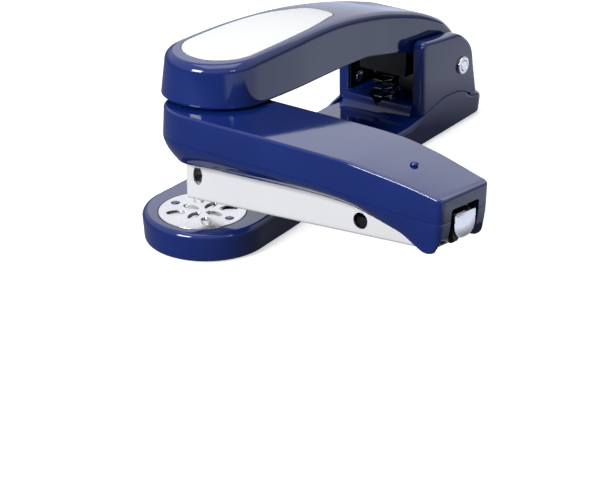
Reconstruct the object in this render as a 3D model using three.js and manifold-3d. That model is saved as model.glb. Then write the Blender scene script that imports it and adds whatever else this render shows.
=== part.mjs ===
import * as THREE from 'three';
import Module from 'manifold-3d';

const wasm = await Module();
wasm.setup();

// Rotating stapler. Millimetres, Z up. The origin is on the underside of the base,
// below the middle of the anvil. The base runs along +Y. The arm is worked out fully
// pressed, with its swivel axis upright, and then raised to its rest pose. The head is
// worked out with u along +X from the swivel axis to its tail, v across and w up.

// Rest pose and joints, in degrees.
const restTilt = 5.5;
const restSwing = -2;
const magazineDroop = 4;

// Clearances and the overrun that every cut shares.
const fitGap = 0.3;
const slipGap = 0.15;
const overrun = 1;

// Base.
const baseHeight = 11.5;
const baseRearReach = 17.8;
const baseHalfWidth = 23.5;
const baseFrontY = 3.4;
const baseCorner = 6;
const baseRim = 2;
const baseTaper = 0.5;
const baseFootRound = 1.6;
const baseLift = 0.5;
const baseWall = 2.5;
const baseRoof = 2.5;
const baseWidthShares = [[0.021, 1], [0.074, 0.987], [0.155, 0.97], [0.31, 0.902], [0.464, 0.868],
  [0.619, 0.857], [0.743, 0.86], [0.932, 0.86]];
const postRadius = 3.2;
const postHoleRadius = 1.2;
const postInset = 3.8;
const postFrontY = 24;
const postRearInset = 5.7;
const postHoleDepth = 5;

// Pad under the base, stiffener plate and screws.
const padThickness = 2;
const padScrewRecess = 0.8;
const screwHeadRadius = 2.1;
const screwHeadHeight = 0.8;
const screwRadius = 0.9;
const screwLength = 6;
const screwSlotWidth = 0.5;
const screwSlotDepth = 0.35;
const plateThickness = 1.2;
const plateWidthShare = 0.67234;
const plateFrontY = -9;
const plateRearReach = 6.3;
const plateCorner = 5;

// Anvil.
const anvilWidthShare = 0.67234;
const anvilThickness = 1.1;
const anvilProud = 0.2;
const anvilRim = 0.25;
const anvilPinRadius = 1.5;
const anvilPinInset = 3.8;
const anvilPinProud = 0.25;
const leafDepth = 0.45;
const leafCount = 4;
const innerLeafStart = 2;
const innerLeafLength = 6.2;
const innerLeafHalfWidth = 1.4;
const outerLeafTurnShare = 0.5;
const outerLeafStart = 6.3;
const outerLeafInset = 2.8;
const outerLeafHalfWidth = 1.7;
const leafShares = [[0, 0], [0.15, 0.6], [0.4, 1], [0.7, 0.8], [1, 0]];

// Yoke, which carries the arm's pin.
const yokeFrontReach = 30.7;
const yokeDepth = 42;
const yokeRise = 32.1;
const yokeWidthShare = 0.842553;
const cheekWidthShare = 0.252525;
const cheekRound = 1.6;
const cheekInnerRound = 0.7;
const cheekShares = [[0, -0.109], [0, 0.95], [0.017, 0.988], [0.055, 1], [0.167, 0.978], [0.31, 0.95],
  [0.452, 0.925], [0.6, 0.9], [0.69, 0.854], [0.771, 0.785], [0.843, 0.701], [0.893, 0.607],
  [0.924, 0.421], [1.005, -0.109]];
const sillHeight = 5.3;
const sillFillet = 3.4;
const sillBevel = 1.2;
const sillRearShare = 0.97;
const wellRadius = 6.6;
const wellFloor = 0.5;
const waveLead = 6;
const waveRise = 4.1;
const waveWall = 2;
const waveProud = 0.4;
const waveRoot = 2;
const waveShares = [[0, 0], [0.048, 0.049], [0.095, 0.146], [0.179, 0.268], [0.262, 0.415],
  [0.381, 0.707], [0.488, 0.927], [0.571, 1], [0.643, 1], [0.738, 0.927], [0.833, 0.756],
  [0.929, 0.415], [1, 0.122]];

// Steel frame inside the yoke, its rivets and the arm's pin.
const pinInset = 9.3;
const pinZ = 25;
const pinRadius = 3;
const pinHeadRadius = 3.6;
const pinHeadHeight = 1.1;
const pinEndRadius = 2;
const pinEndLength = 1.2;
const capThickness = 0.5;
const edgeBreak = 0.3;
const yokeFrameSheet = 0.6;
const yokeFrameFloorShare = 0.36;
const yokeFrameShares = [[0.08, 0], [0.88, 0], [0.86, 0.474], [0.78, 0.664], [0.6, 0.772],
  [0.42, 0.772], [0.2, 0.521], [0.08, 0.401]];
const rivetReach = 21.4;
const rivetZ = 19.9;
const rivetRadius = 2.4;
const rivetHeight = 0.7;

// Return spring under the arm.
const springReach = 24.2;
const springRadius = 5;
const springWire = 0.5;
const springCurls = 4;
const springHeight = 13.3;

// Arm.
const drumY = 7;
const drumWidthShare = 0.804255;
const drumTaper = 0.8;
const armLength = 146;
const armCrown = 58.1;
const armEdge = 40.2;
const armRoundIn = 3.4;
const armRoundDown = 3.5;
const armCorner = 4.8;
const armWall = 2;
const armCeiling = 2.2;
const edgeChamfer = 0.4;
const armWidthShares = [[0, 1], [0.089, 0.992], [0.178, 0.968], [0.253, 0.926], [0.329, 0.878],
  [0.404, 0.836], [0.479, 0.799], [0.562, 0.767], [0.644, 0.741], [0.774, 0.725], [0.973, 0.725]];
const armCrownShares = [[-0.13, 0.979], [-0.075, 0.986], [0, 0.991], [0.089, 0.997], [0.178, 1],
  [0.26, 1], [0.329, 0.997], [0.404, 0.986], [0.479, 0.971], [0.562, 0.948], [0.644, 0.919],
  [0.705, 0.89], [0.774, 0.852], [0.829, 0.812], [0.877, 0.769], [0.918, 0.723], [0.952, 0.664],
  [0.976, 0.602], [0.993, 0.525], [1, 0.473]];
const armRoundShares = [[-0.13, 0.62], [0.3, 0.68], [0.45, 0.92], [0.6, 1], [0.95, 1],
  [0.98, 0.8], [1, 0.42]];
const armEdgeShares = [[-0.13, 1], [0.089, 1], [0.26, 1.005], [0.5, 1.005], [0.548, 0.988],
  [0.596, 0.96], [0.658, 0.925], [0.705, 0.896], [0.74, 0.851], [0.774, 0.781], [0.815, 0.672],
  [0.849, 0.557], [0.877, 0.495], [0.904, 0.46], [0.936, 0.445], [0.962, 0.465], [0.979, 0.502],
  [0.993, 0.552], [1, 0.592]];

// Inlay in the top of the arm.
const inlayInset = 3.5;
const inlayLength = 66;
const inlayCorner = 7;
const inlayThickness = 1;
const inlayProud = 0.15;
const inlayRim = 0.3;
const inlayWidthShares = [[0, 1], [0.197, 0.974], [0.348, 0.922], [0.5, 0.844], [0.652, 0.74],
  [0.773, 0.636], [0.864, 0.539]];

// Folded steel frame inside the arm and the spacer on the pin.
const armFrameWidthShare = 0.555556;
const armFrameSheet = 1.4;
const armFrameReach = 26.9;
const armFrameDepth = 32.8;
const armFrameFootZ = 24;
const armFrameRise = 24.2;
const armFrameShares = [[0, 0], [0.28, 0], [0.448, -0.136], [0.616, -0.196], [0.82, -0.212],
  [0.982, -0.152], [1, 0.08], [0.936, 0.22], [0.799, 0.36], [0.646, 0.5], [0.433, 0.66],
  [0.189, 0.8], [-0.146, 0.92], [-0.39, 0.985], [-0.39, 0.82], [-0.116, 0.74], [0, 0.56]];
const armFrameBendShare = 0.28;
const armFrameRearShare = 0.9;
const sleeveRadius = 3.7;

// Swivel between arm and head.
const bossRadius = 9;
const bossFoot = 0.4;
const bossRootShare = 0.75;
const axleRadius = 3;
const axleFlangeRadius = 6.5;
const axleFlangeHeight = 1.4;
const axleTopZ = 52;
const axleNeckRadius = 2.3;
const clipPocketRadius = 7.2;
const clipSeatZ = 49;
const washerOuterRadius = 6.3;
const washerThickness = 0.8;
const clipThickness = 0.8;
const clipOuterRadius = 5;

// Head.
const noseU = 6.3;
const headRadius = 18.5;
const headLength = 104.3;
const headTop = 39.2;
const headCorner = 3;
const headCeiling = 2.4;
const headWall = 2;
const headRound = 1;
const seamHeight = 28.5;
const skirtHeight = 23;
const skirtDraw = 5;
const skirtWall = 1.8;
const skirtBulgeShares = [1, 0.8, 0.5, 0];
const tailNotchHalfWidth = 8.2;
const tailNotchTop = 28.5;
const tailNotchDepth = 6;
const headWidthShares = [[0, 1], [0.131, 1], [0.323, 1], [0.467, 1], [0.563, 0.995], [0.668, 0.962],
  [0.774, 0.914], [0.879, 0.838], [0.935, 0.803], [0.965, 0.784]];
const headTopShares = [[-0.185, 0.992], [-0.06, 0.997], [0.131, 1], [0.515, 1], [0.592, 0.997],
  [0.659, 0.99], [0.755, 0.959], [0.822, 0.934], [0.879, 0.906], [0.937, 0.875], [1, 0.839]];
const seamShares = [[-0.185, 1], [0.515, 1], [0.572, 0.993], [0.649, 0.961], [0.726, 0.919],
  [0.831, 0.884], [0.908, 0.87], [1.004, 0.87]];
const skirtEdgeShares = [[-0.185, 0.852], [-0.041, 0.861], [0.074, 0.904], [0.208, 0.93],
  [0.371, 0.97], [0.553, 1], [0.659, 0.983], [0.755, 0.909], [0.822, 0.835], [0.86, 0.783],
  [0.908, 0.687], [0.935, 0.64], [0.969, 0.66], [0.992, 0.763], [1, 0.88]];
const skirtDrawShares = [[-0.185, 1], [0.419, 1], [0.515, 0.96], [0.659, 0.76], [0.802, 0.42],
  [0.946, 0.14], [1.004, 0.12]];
const nubInset = 20.9;
const nubRadius = 1.5;
const nubRise = 1.1;
const nubStemRadius = 0.9;

// Steel frame of the head, driver blade, hinge stubs and the spring on the magazine.
const headFrameSheet = 1.2;
const headFrameHalfWidth = 9.6;
const headFrameFrontU = -3;
const headFrameRearInset = 2.6;
const headFrameFootW = 17.8;
const headFrameRise = 18.7;
const headFrameRoofShare = 0.6;
const headFrameShares = [[0, 0.4], [0.579, 0.4], [0.684, 0.38], [0.789, 0.26], [0.868, 0.096],
  [0.912, 0], [1, 0], [1, 0.56], [0.912, 0.7], [0.807, 0.83], [0.719, 0.92], [0.632, 1], [0, 1]];
const bladeHalfWidth = 6.1;
const bladeFrontU = 0.4;
const bladeThickness = 0.6;
const bladeFootW = 12.3;
const bladeTopW = 33.1;
const bridgeFootW = 28.2;
const hingeInset = 7.1;
const hingeW = 22.5;
const stubRadius = 1.6;
const stubHeadRadius = 2.6;
const stubHeadHeight = 0.9;
const headSpringReach = 43.5;
const headSpringRadius = 3.4;
const headSpringWire = 0.4;
const headSpringCurls = 5;
const headSpringHeight = 10;

// Magazine.
const magazineHalfWidth = 7.2;
const magazineFrontU = -1.4;
const magazineFoot = 12.1;
const magazineHeight = 15;
const magazineWall = 0.6;
const magazineFloor = 0.6;
const magazineFrontWall = 1;
const magazineRound = 1.5;
const magazineNoseRound = 3;
const magazineRoof = 1;
const floorRearInset = 1.5;
const earRadius = 4.6;
const earShares = [[0.45, -1.5], [0.87, -0.5], [1, 0], [0.87, 0.5], [0.5, 0.87], [0, 1]];
const slotLength = 1.7;
const roofFrontU = 8;
const roofRearReach = 33.5;
const frontHoleU = 4.2;
const frontHoleW = 21.3;
const frontHoleHalfLength = 2;
const frontHoleHalfHeight = 3.5;
const frontHoleFlatShare = 0.45;
const rearHoleReach = 29.6;
const rearHoleW = 17.4;
const rearHoleRadius = 2.9;

// Staples, rail, rod, pusher and latch.
const staplesHalfWidth = 6.3;
const stapleLeg = 6;
const stapleWire = 0.5;
const staplesFrontU = 1.4;
const staplesLength = 50;
const railSheet = 0.6;
const railFrontU = 1.8;
const railRearReach = 1.5;
const railWebThickness = 1;
const railSlotHalfWidth = 0.9;
const railSlotLead = 0.7;
const railSlotInset = 3.5;
const endBlockLength = 5;
const endBlockHeight = 9;
const endBlockLip = 2.2;
const endBlockRise = 4.5;
const lugLength = 3.6;
const lugThickness = 1.8;
const endBlockRound = 1.4;
const rodRadius = 0.7;
const rodW = 15.2;
const rodFrontU = 2.2;
const rodSeat = 1.7;
const pusherLength = 9;
const pusherRise = 4;
const tongueHalfWidth = 0.5;
const tongueInset = 1.4;
const eyeHalfWidth = 1.9;
const pusherSpringRadius = 1.35;
const pusherSpringWire = 0.22;
const pusherSpringCurls = 18;
const latchPlate = 1;
const latchHalfWidth = 6.2;
const latchFootW = 16.9;
const latchHeight = 8.4;
const latchRound = 5;
const latchPinW = 24.2;
const latchPinRadius = 0.8;
const latchEyeRadius = 1.5;

// Finishes.
const navy = 0x16245c;
const black = 0x15161a;
const silver = 0xd9dadc;
const pale = 0xe4e5e4;
const steel = 0xb9bcc0;
const darkSteel = 0x34363b;
const rubber = 0x1b1c1f;

// Counts.
const quarterSteps = 9;
const cornerSteps = 3;
const roundSides = 28;
const smallSides = 20;
const coilSteps = 8;
const coilSides = 5;
const quarterShares = [0, 0.36, 0.7, 1];

const quarterTurn = Math.PI / 2;
const fullTurn = Math.PI * 2;
const radians = THREE.MathUtils.degToRad;
const valueAt = (value, a, b) => (typeof value === 'function' ? value(a, b) : value);
const laidOut = (shares, startA, lengthA, startB, lengthB) => (
  shares.map(([a, b]) => [startA + a * lengthA, startB + b * lengthB])
);

// A smooth curve through the points of a table.
function follow(points) {
  const curve = new THREE.CubicInterpolant(points.map(([a]) => a), points.map(([, b]) => b), 1);
  return (at) => curve.evaluate(at)[0];
}

// Points that lie at one place become one, and triangles without area go.
function welded(geometry) {
  const position = geometry.attributes.position;
  const source = geometry.index ? geometry.index.array : [...Array(position.count).keys()];
  const places = new Map();
  const points = [];
  const renumbered = [];
  for (let i = 0; i < position.count; i += 1) {
    const point = [position.getX(i), position.getY(i), position.getZ(i)];
    const key = point.map((value) => Math.round(value * 1e5)).join();
    if (!places.has(key)) {
      places.set(key, places.size);
      points.push(...point);
    }
    renumbered.push(places.get(key));
  }
  const index = [];
  for (let i = 0; i < source.length; i += 3) {
    const [a, b, c] = [renumbered[source[i]], renumbered[source[i + 1]], renumbered[source[i + 2]]];
    if (a !== b && b !== c && c !== a) {
      index.push(a, b, c);
    }
  }
  return geometryOf(points, index);
}

function geometryOf(points, index) {
  const geometry = new THREE.BufferGeometry();
  geometry.setAttribute('position', new THREE.Float32BufferAttribute(points, 3));
  geometry.setIndex(index);
  return geometry;
}

// Six times the volume, which is negative when the faces point inwards.
function windingOf(points, index) {
  const [a, b, c] = [new THREE.Vector3(), new THREE.Vector3(), new THREE.Vector3()];
  let sum = 0;
  for (let i = 0; i < index.length; i += 3) {
    a.fromArray(points, index[i] * 3);
    b.fromArray(points, index[i + 1] * 3);
    c.fromArray(points, index[i + 2] * 3);
    sum += a.dot(b.cross(c));
  }
  return sum;
}

function facingOut(points, index) {
  return geometryOf(points, windingOf(points, index) < 0 ? index.reverse() : index);
}

function toSolid(geometry) {
  const clean = welded(geometry);
  return new wasm.Manifold(new wasm.Mesh({
    numProp: 3,
    vertProperties: Float32Array.from(clean.attributes.position.array),
    triVerts: Uint32Array.from(clean.index.array),
  }));
}

function fromSolid(solid) {
  const mesh = solid.getMesh();
  return welded(geometryOf([...mesh.vertProperties], [...mesh.triVerts]));
}

const join = (...pieces) => fromSolid(wasm.Manifold.union(pieces.map(toSolid)));
const cut = (body, ...tools) => (
  fromSolid(toSolid(body).subtract(wasm.Manifold.union(tools.map(toSolid))))
);
const meet = (one, other) => fromSolid(toSolid(one).intersect(toSolid(other)));

// Directions in which a slab is laid: rising in Z, along X, and across the head.
const rising = (a, b, h) => [a, b, h];
const alongX = (a, b, h) => [h, a, b];
const alongY = (a, b, h) => [a, h, b];

// Inward steps at the corners of an outline that runs anticlockwise.
function inwardSteps(outline) {
  return outline.map((point, i) => {
    const before = outline[(i + outline.length - 1) % outline.length];
    const after = outline[(i + 1) % outline.length];
    const one = new THREE.Vector2(point[0] - before[0], point[1] - before[1]).normalize();
    const two = new THREE.Vector2(after[0] - point[0], after[1] - point[1]).normalize();
    const inward = new THREE.Vector2(-one.y - two.y, one.x + two.x);
    return inward.multiplyScalar(2 / inward.lengthSq());
  });
}

// Triangles that fill a ring. The fullest free corner is cut off first, so that points
// on a straight side keep their place.
function fillOf(ring) {
  const area = ([a0, b0], [a1, b1], [a2, b2]) => (a1 - a0) * (b2 - b0) - (a2 - a0) * (b1 - b0);
  const reach = ([a0, b0], [a1, b1]) => (a1 - a0) ** 2 + (b1 - b0) ** 2;
  const left = ring.map((point, i) => i);
  const faces = [];
  while (left.length > 2) {
    let best = 0;
    let bestScore = -Infinity;
    left.forEach((here, k) => {
      const before = left[(k + left.length - 1) % left.length];
      const after = left[(k + 1) % left.length];
      const [p, q, r] = [ring[before], ring[here], ring[after]];
      const score = area(p, q, r) / Math.max(reach(p, q), reach(q, r), reach(r, p));
      const free = () => left.every((other) => (
        other === before || other === here || other === after
        || area(p, q, ring[other]) < 0 || area(q, r, ring[other]) < 0 || area(r, p, ring[other]) < 0
      ));
      if (score > bestScore && score > 0 && free()) {
        best = k;
        bestScore = score;
      }
    });
    const before = left[(best + left.length - 1) % left.length];
    const after = left[(best + 1) % left.length];
    faces.push([before, left[best], after]);
    left.splice(best, 1);
  }
  return faces;
}

// Triangles that fill a mirrored ring with rungs from each side to the other.
function rungsOf(ring) {
  const faces = [];
  for (let right = 0; right + 1 < ring.length / 2; right += 1) {
    const left = (ring.length - right) % ring.length;
    faces.push([right, right + 1, ring.length - right - 1]);
    if (left !== right) {
      faces.push([right, ring.length - right - 1, left]);
    }
  }
  return faces;
}

// A closed solid through rings of one outline, each drawn in by its inset at its height.
function slab(outline, layers, place, fill = fillOf) {
  const turns = THREE.ShapeUtils.area(outline.map(([a, b]) => new THREE.Vector2(a, b)));
  const ordered = turns < 0 ? [...outline].reverse() : outline;
  const steps = inwardSteps(ordered);
  const rings = layers.map((layer) => ordered.map(([a, b], i) => {
    const inset = valueAt(layer.inset, a, b);
    return [a + steps[i].x * inset, b + steps[i].y * inset];
  }));
  const points = rings.flatMap((ring, k) => ring.flatMap(([a, b]) => (
    place(a, b, valueAt(layers[k].height, a, b))
  )));
  const count = ordered.length;
  const index = [];
  for (let k = 0; k + 1 < rings.length; k += 1) {
    for (let i = 0; i < count; i += 1) {
      const next = (i + 1) % count;
      const [low, high] = [k * count, (k + 1) * count];
      index.push(low + i, low + next, high + next, low + i, high + next, high + i);
    }
  }
  fill(rings[0]).forEach(([a, b, c]) => index.push(a, c, b));
  const top = (rings.length - 1) * count;
  fill(rings[rings.length - 1]).forEach(([a, b, c]) => index.push(top + a, top + b, top + c));
  return facingOut(points, index);
}

const prism = (outline, from, to, place) => (
  slab(outline, [{ inset: 0, height: from }, { inset: 0, height: to }], place)
);

const laced = (outline, layers) => slab(outline, layers, rising, rungsOf);

// Layers of a rounded edge that starts at an inset and ends at the top.
const rimLayers = (inset, top, reachIn, reachDown) => quarterShares.map((share) => ({
  inset: (a, b) => valueAt(inset, a, b) + reachIn * (1 - Math.cos(share * quarterTurn)),
  height: (a, b) => (
    valueAt(top, a, b) - valueAt(reachDown, a, b) * (1 - Math.sin(share * quarterTurn))
  ),
}));

function roundedBox(a0, b0, a1, b1, radius) {
  const outline = [];
  const corners = [[a1 - radius, b0 + radius], [a1 - radius, b1 - radius],
    [a0 + radius, b1 - radius], [a0 + radius, b0 + radius]];
  corners.forEach(([a, b], corner) => {
    for (let i = 0; i <= cornerSteps; i += 1) {
      const angle = quarterTurn * (corner - 1 + i / cornerSteps);
      outline.push([a + radius * Math.cos(angle), b + radius * Math.sin(angle)]);
    }
  });
  return outline;
}

const box = (a0, b0, a1, b1) => [[a0, b0], [a1, b0], [a1, b1], [a0, b1]];

function ringOutline(centreA, centreB, radius, sides) {
  return Array.from({ length: sides }, (unused, i) => [
    centreA + radius * Math.cos(fullTurn * i / sides),
    centreB + radius * Math.sin(fullTurn * i / sides),
  ]);
}

// A round front, sides that follow the widths and a rear with rounded corners.
function mirroredOutline(frontY, frontRadius, widths, rearY, corner) {
  const half = [];
  for (let i = 0; i <= quarterSteps; i += 1) {
    const angle = quarterTurn * i / quarterSteps;
    half.push([frontRadius * Math.sin(angle), frontY - frontRadius * Math.cos(angle)]);
  }
  widths.slice(1).forEach(([y, width]) => half.push([width, y]));
  const rearWidth = widths[widths.length - 1][1];
  for (let i = 1; i <= cornerSteps; i += 1) {
    const angle = quarterTurn * i / cornerSteps;
    half.push([
      rearWidth - corner + corner * Math.cos(angle),
      rearY - corner + corner * Math.sin(angle),
    ]);
  }
  const other = half.slice(1).reverse().map(([x, y]) => [-x, y]);
  return [...half, ...other];
}

// A profile of [radius, height] points turned round the Z axis.
function turned(profile, sides) {
  const line = profile.map(([radius, height]) => new THREE.Vector2(radius, height));
  const geometry = welded(new THREE.LatheGeometry(line, sides).rotateX(quarterTurn));
  return facingOut([...geometry.attributes.position.array], [...geometry.index.array]);
}

const rod = (radius, from, to, sides) => (
  turned([[0, from], [radius, from], [radius, to], [0, to]], sides)
);

const washer = (inner, outer, from, to, sides) => (
  turned([[inner, from], [outer, from], [outer, to], [inner, to], [inner, from]], sides)
);

const softRod = (radius, from, to, chamfer, sides) => turned([
  [0, from], [radius - chamfer, from], [radius, from + chamfer],
  [radius, to - chamfer], [radius - chamfer, to], [0, to],
], sides);

const placed = (geometry, x, y, z) => geometry.clone().translate(x, y, z);
const lyingX = (geometry) => geometry.clone().rotateY(quarterTurn);
const lyingY = (geometry) => geometry.clone().rotateX(-quarterTurn);

// Mirrors a closed solid left to right and turns its faces out again.
function mirrorX(geometry) {
  const points = [...geometry.attributes.position.array].map((value, i) => (i % 3 ? value : -value));
  return facingOut(points, [...geometry.index.array]);
}

// One unbroken tube in curls that rise evenly from zero to the height.
function coil(radius, wire, curls, height) {
  const count = curls * coilSteps;
  const points = [];
  const centres = [];
  const rise = height - 2 * wire;
  for (let i = 0; i <= count; i += 1) {
    const angle = fullTurn * i / coilSteps;
    const outward = new THREE.Vector3(Math.cos(angle), Math.sin(angle), 0);
    const along = new THREE.Vector3(
      -radius * Math.sin(angle) * fullTurn * curls,
      radius * Math.cos(angle) * fullTurn * curls,
      rise,
    ).normalize();
    const across = new THREE.Vector3().crossVectors(along, outward);
    const centre = outward.clone().multiplyScalar(radius);
    centre.z = wire + rise * i / count;
    centres.push(centre);
    for (let k = 0; k < coilSides; k += 1) {
      const turn = fullTurn * k / coilSides;
      const point = centre.clone();
      point.addScaledVector(outward, wire * Math.cos(turn));
      point.addScaledVector(across, wire * Math.sin(turn));
      points.push(point.x, point.y, point.z);
    }
  }
  const index = [];
  for (let i = 0; i < count; i += 1) {
    for (let k = 0; k < coilSides; k += 1) {
      const next = (k + 1) % coilSides;
      const [low, high] = [i * coilSides, (i + 1) * coilSides];
      index.push(low + k, low + next, high + next, low + k, high + next, high + k);
    }
  }
  for (let k = 1; k + 1 < coilSides; k += 1) {
    const last = count * coilSides;
    index.push(0, k + 1, k, last, last + k, last + k + 1);
  }
  let least = Infinity;
  centres.forEach((one, i) => {
    centres.slice(i + coilSteps / 2).forEach((other) => {
      least = Math.min(least, one.distanceTo(other) - 2 * wire);
    });
  });
  console.log(`coil of ${curls} curls: least gap to itself ${least.toFixed(2)} mm`);
  return facingOut(points, index);
}

// Widths that follow the base.
const plateHalfWidth = baseHalfWidth * plateWidthShare;
const postX = plateHalfWidth - postInset;
const anvilRadius = baseHalfWidth * anvilWidthShare;
const anvilPinX = anvilRadius - anvilPinInset;
const outerLeafLength = anvilRadius - outerLeafInset - outerLeafStart;
const yokeOuterX = baseHalfWidth * yokeWidthShare;
const cheekThickness = yokeOuterX * cheekWidthShare;
const drumRadius = baseHalfWidth * drumWidthShare;
const inlayRadius = drumRadius - inlayInset;
const armFrameHalfWidth = drumRadius * armFrameWidthShare;

// Places that follow the arm's pin, the tail of the head and the magazine's hinge.
const pinY = drumY + armLength - pinInset;
const baseRear = pinY + baseRearReach;
const postRearY = pinY - postRearInset;
const plateRearY = pinY + plateRearReach;
const yokeFrontY = pinY - yokeFrontReach;
const waveStartY = yokeFrontY - waveLead;
const rivetY = pinY - rivetReach;
const springY = pinY - springReach;
const armFrameFrontY = pinY - armFrameReach;
const tailU = noseU + headLength;
const headFrameRearU = tailU - headFrameRearInset;
const nubU = tailU - nubInset;
const hingeU = tailU - hingeInset;
const headSpringU = hingeU - headSpringReach;
const floorRearU = hingeU - floorRearInset;
const roofRearU = hingeU - roofRearReach;
const rearHoleU = hingeU - rearHoleReach;
const railRearU = hingeU + railRearReach;
const railSlotRearU = hingeU - railSlotInset;
const railSlotFrontU = staplesFrontU + staplesLength + railSlotLead;

// Outlines and heights that several pieces share.
const cheekInnerX = yokeOuterX - cheekThickness;
const sillZ = baseHeight + sillHeight;
const baseRearWidths = laidOut(baseWidthShares, 0, baseRear, 0, baseHalfWidth);
const baseOutline = mirroredOutline(baseFrontY, baseHalfWidth, baseRearWidths, baseRear, baseCorner);
const armOutline = mirroredOutline(
  drumY, drumRadius, laidOut(armWidthShares, drumY, armLength, 0, drumRadius),
  drumY + armLength, armCorner,
);
const crownAt = follow(laidOut(armCrownShares, drumY, armLength, 0, armCrown));
const edgeAt = follow(laidOut(armEdgeShares, drumY, armLength, 0, armEdge));
const armRoundAt = follow(laidOut(armRoundShares, drumY, armLength, 0, armRoundDown));
const headOutline = mirroredOutline(
  noseU, headRadius, laidOut(headWidthShares, noseU, headLength, 0, headRadius),
  noseU + headLength, headCorner,
).map(([side, along]) => [along, -side]);
const headTopAt = follow(laidOut(headTopShares, noseU, headLength, 0, headTop));
const seamAt = follow(laidOut(seamShares, noseU, headLength, 0, seamHeight));
const skirtEdgeAt = follow(laidOut(skirtEdgeShares, noseU, headLength, 0, skirtHeight));
const skirtDrawAt = follow(laidOut(skirtDrawShares, noseU, headLength, 0, skirtDraw));
const postPlaces = [[-postX, postFrontY], [postX, postFrontY], [-postX, postRearY], [postX, postRearY]];
const baseCeilingZ = baseHeight - baseRoof;
const anvilSeatZ = baseHeight + anvilProud - anvilThickness;

// Where each moving group stands at rest.
const pinPlace = new THREE.Matrix4().makeTranslation(0, pinY, pinZ);
const pinReturn = new THREE.Matrix4().makeTranslation(0, -pinY, -pinZ);
const basePose = new THREE.Matrix4();
const armPose = pinPlace.clone()
  .multiply(new THREE.Matrix4().makeRotationX(-radians(restTilt)))
  .multiply(pinReturn);
const headPose = armPose.clone()
  .multiply(new THREE.Matrix4().makeRotationZ(radians(restSwing)));
const magazinePose = headPose.clone()
  .multiply(new THREE.Matrix4().makeTranslation(hingeU, 0, hingeW))
  .multiply(new THREE.Matrix4().makeRotationY(-radians(magazineDroop)))
  .multiply(new THREE.Matrix4().makeTranslation(-hingeU, 0, -hingeW));

const part = new THREE.Group();
part.name = 'rotating_stapler';

function add(name, geometry, pose, color, metalness, roughness) {
  const material = new THREE.MeshStandardMaterial({ color, metalness, roughness });
  material.name = `${name}_finish`;
  const mesh = new THREE.Mesh(geometry.clone().applyMatrix4(pose), material);
  mesh.geometry.computeVertexNormals();
  mesh.name = name;
  part.add(mesh);
}

// Base shell: a lofted tray, open below, with posts for the screws, a raised wave at
// each side of the yoke and two stakes that hold the anvil.
const waveOutline = [
  ...laidOut(waveShares, waveStartY, yokeDepth, baseHeight, waveRise),
  [waveStartY + yokeDepth, baseHeight - waveRoot],
  [waveStartY, baseHeight - waveRoot],
];
const waveOuterX = yokeOuterX + waveProud;
const baseHollow = laced(baseOutline, [
  { inset: baseWall + baseTaper, height: -overrun },
  { inset: baseWall, height: baseCeilingZ },
]);
const basePost = rod(postRadius, padThickness + fitGap, baseHeight - baseRoof / 2, smallSides);
const baseShell = cut(
  join(
    cut(laced(baseOutline, [
      ...quarterShares.map((share) => ({
        inset: baseTaper + baseFootRound * (1 - Math.sin(share * quarterTurn)),
        height: baseLift + baseFootRound * (1 - Math.cos(share * quarterTurn)),
      })),
      { inset: 0, height: baseHeight - baseRim },
      ...rimLayers(0, baseHeight, baseRim, baseRim).slice(1),
    ]), baseHollow),
    ...postPlaces.map(([x, y]) => placed(basePost, x, y, 0)),
    prism(waveOutline, waveOuterX - waveWall, waveOuterX, alongX),
    prism(waveOutline, -waveOuterX, waveWall - waveOuterX, alongX),
  ),
  rod(anvilRadius + fitGap, anvilSeatZ, baseHeight + overrun, quarterSteps * 4),
  ...postPlaces.map(([x, y]) => (
    placed(rod(postHoleRadius, 0, padThickness + fitGap + postHoleDepth, smallSides), x, y, 0)
  )),
);
const stakeTopZ = anvilSeatZ + anvilThickness + anvilPinProud;
const anvilStake = softRod(anvilPinRadius, baseCeilingZ + overrun / 2, stakeTopZ, edgeBreak, smallSides);
add('base_shell', join(
  baseShell,
  placed(anvilStake, anvilPinX, 0, 0),
  placed(anvilStake, -anvilPinX, 0, 0),
), basePose, navy, 0, 0.3);

// Anvil: a steel disc with pressed leaves that turn the staple legs over.
function leafCut(start, length, halfWidth, angle) {
  const side = laidOut(leafShares, start, length, 0, halfWidth);
  const back = side.slice(1, -1).reverse().map(([along, width]) => [along, -width]);
  const top = anvilSeatZ + anvilThickness;
  const leaf = slab([...side.map(([along, width]) => [along, width]), ...back], [
    { inset: halfWidth / 2, height: top - leafDepth },
    { inset: 0, height: top },
    { inset: 0, height: top + overrun },
  ], rising);
  return leaf.rotateZ(angle);
}
const anvilTop = anvilSeatZ + anvilThickness;
const anvilBlank = turned([
  [0, anvilSeatZ], [anvilRadius, anvilSeatZ], [anvilRadius, anvilTop - anvilRim],
  [anvilRadius - anvilRim, anvilTop], [0, anvilTop],
], quarterSteps * 4);
const innerLeaves = Array.from({ length: leafCount }, (unused, i) => (
  leafCut(innerLeafStart, innerLeafLength, innerLeafHalfWidth, fullTurn * i / leafCount)
));
const outerLeaves = Array.from({ length: leafCount }, (unused, i) => (
  leafCut(outerLeafStart, outerLeafLength, outerLeafHalfWidth,
    fullTurn * (i + outerLeafTurnShare) / leafCount)
));
const stakeHole = rod(anvilPinRadius + slipGap, 0, baseHeight + overrun, smallSides);
add('anvil_disc', cut(
  anvilBlank, ...innerLeaves, ...outerLeaves,
  placed(stakeHole, anvilPinX, 0, 0),
  placed(stakeHole, -anvilPinX, 0, 0),
), basePose, steel, 1, 0.25);

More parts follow.
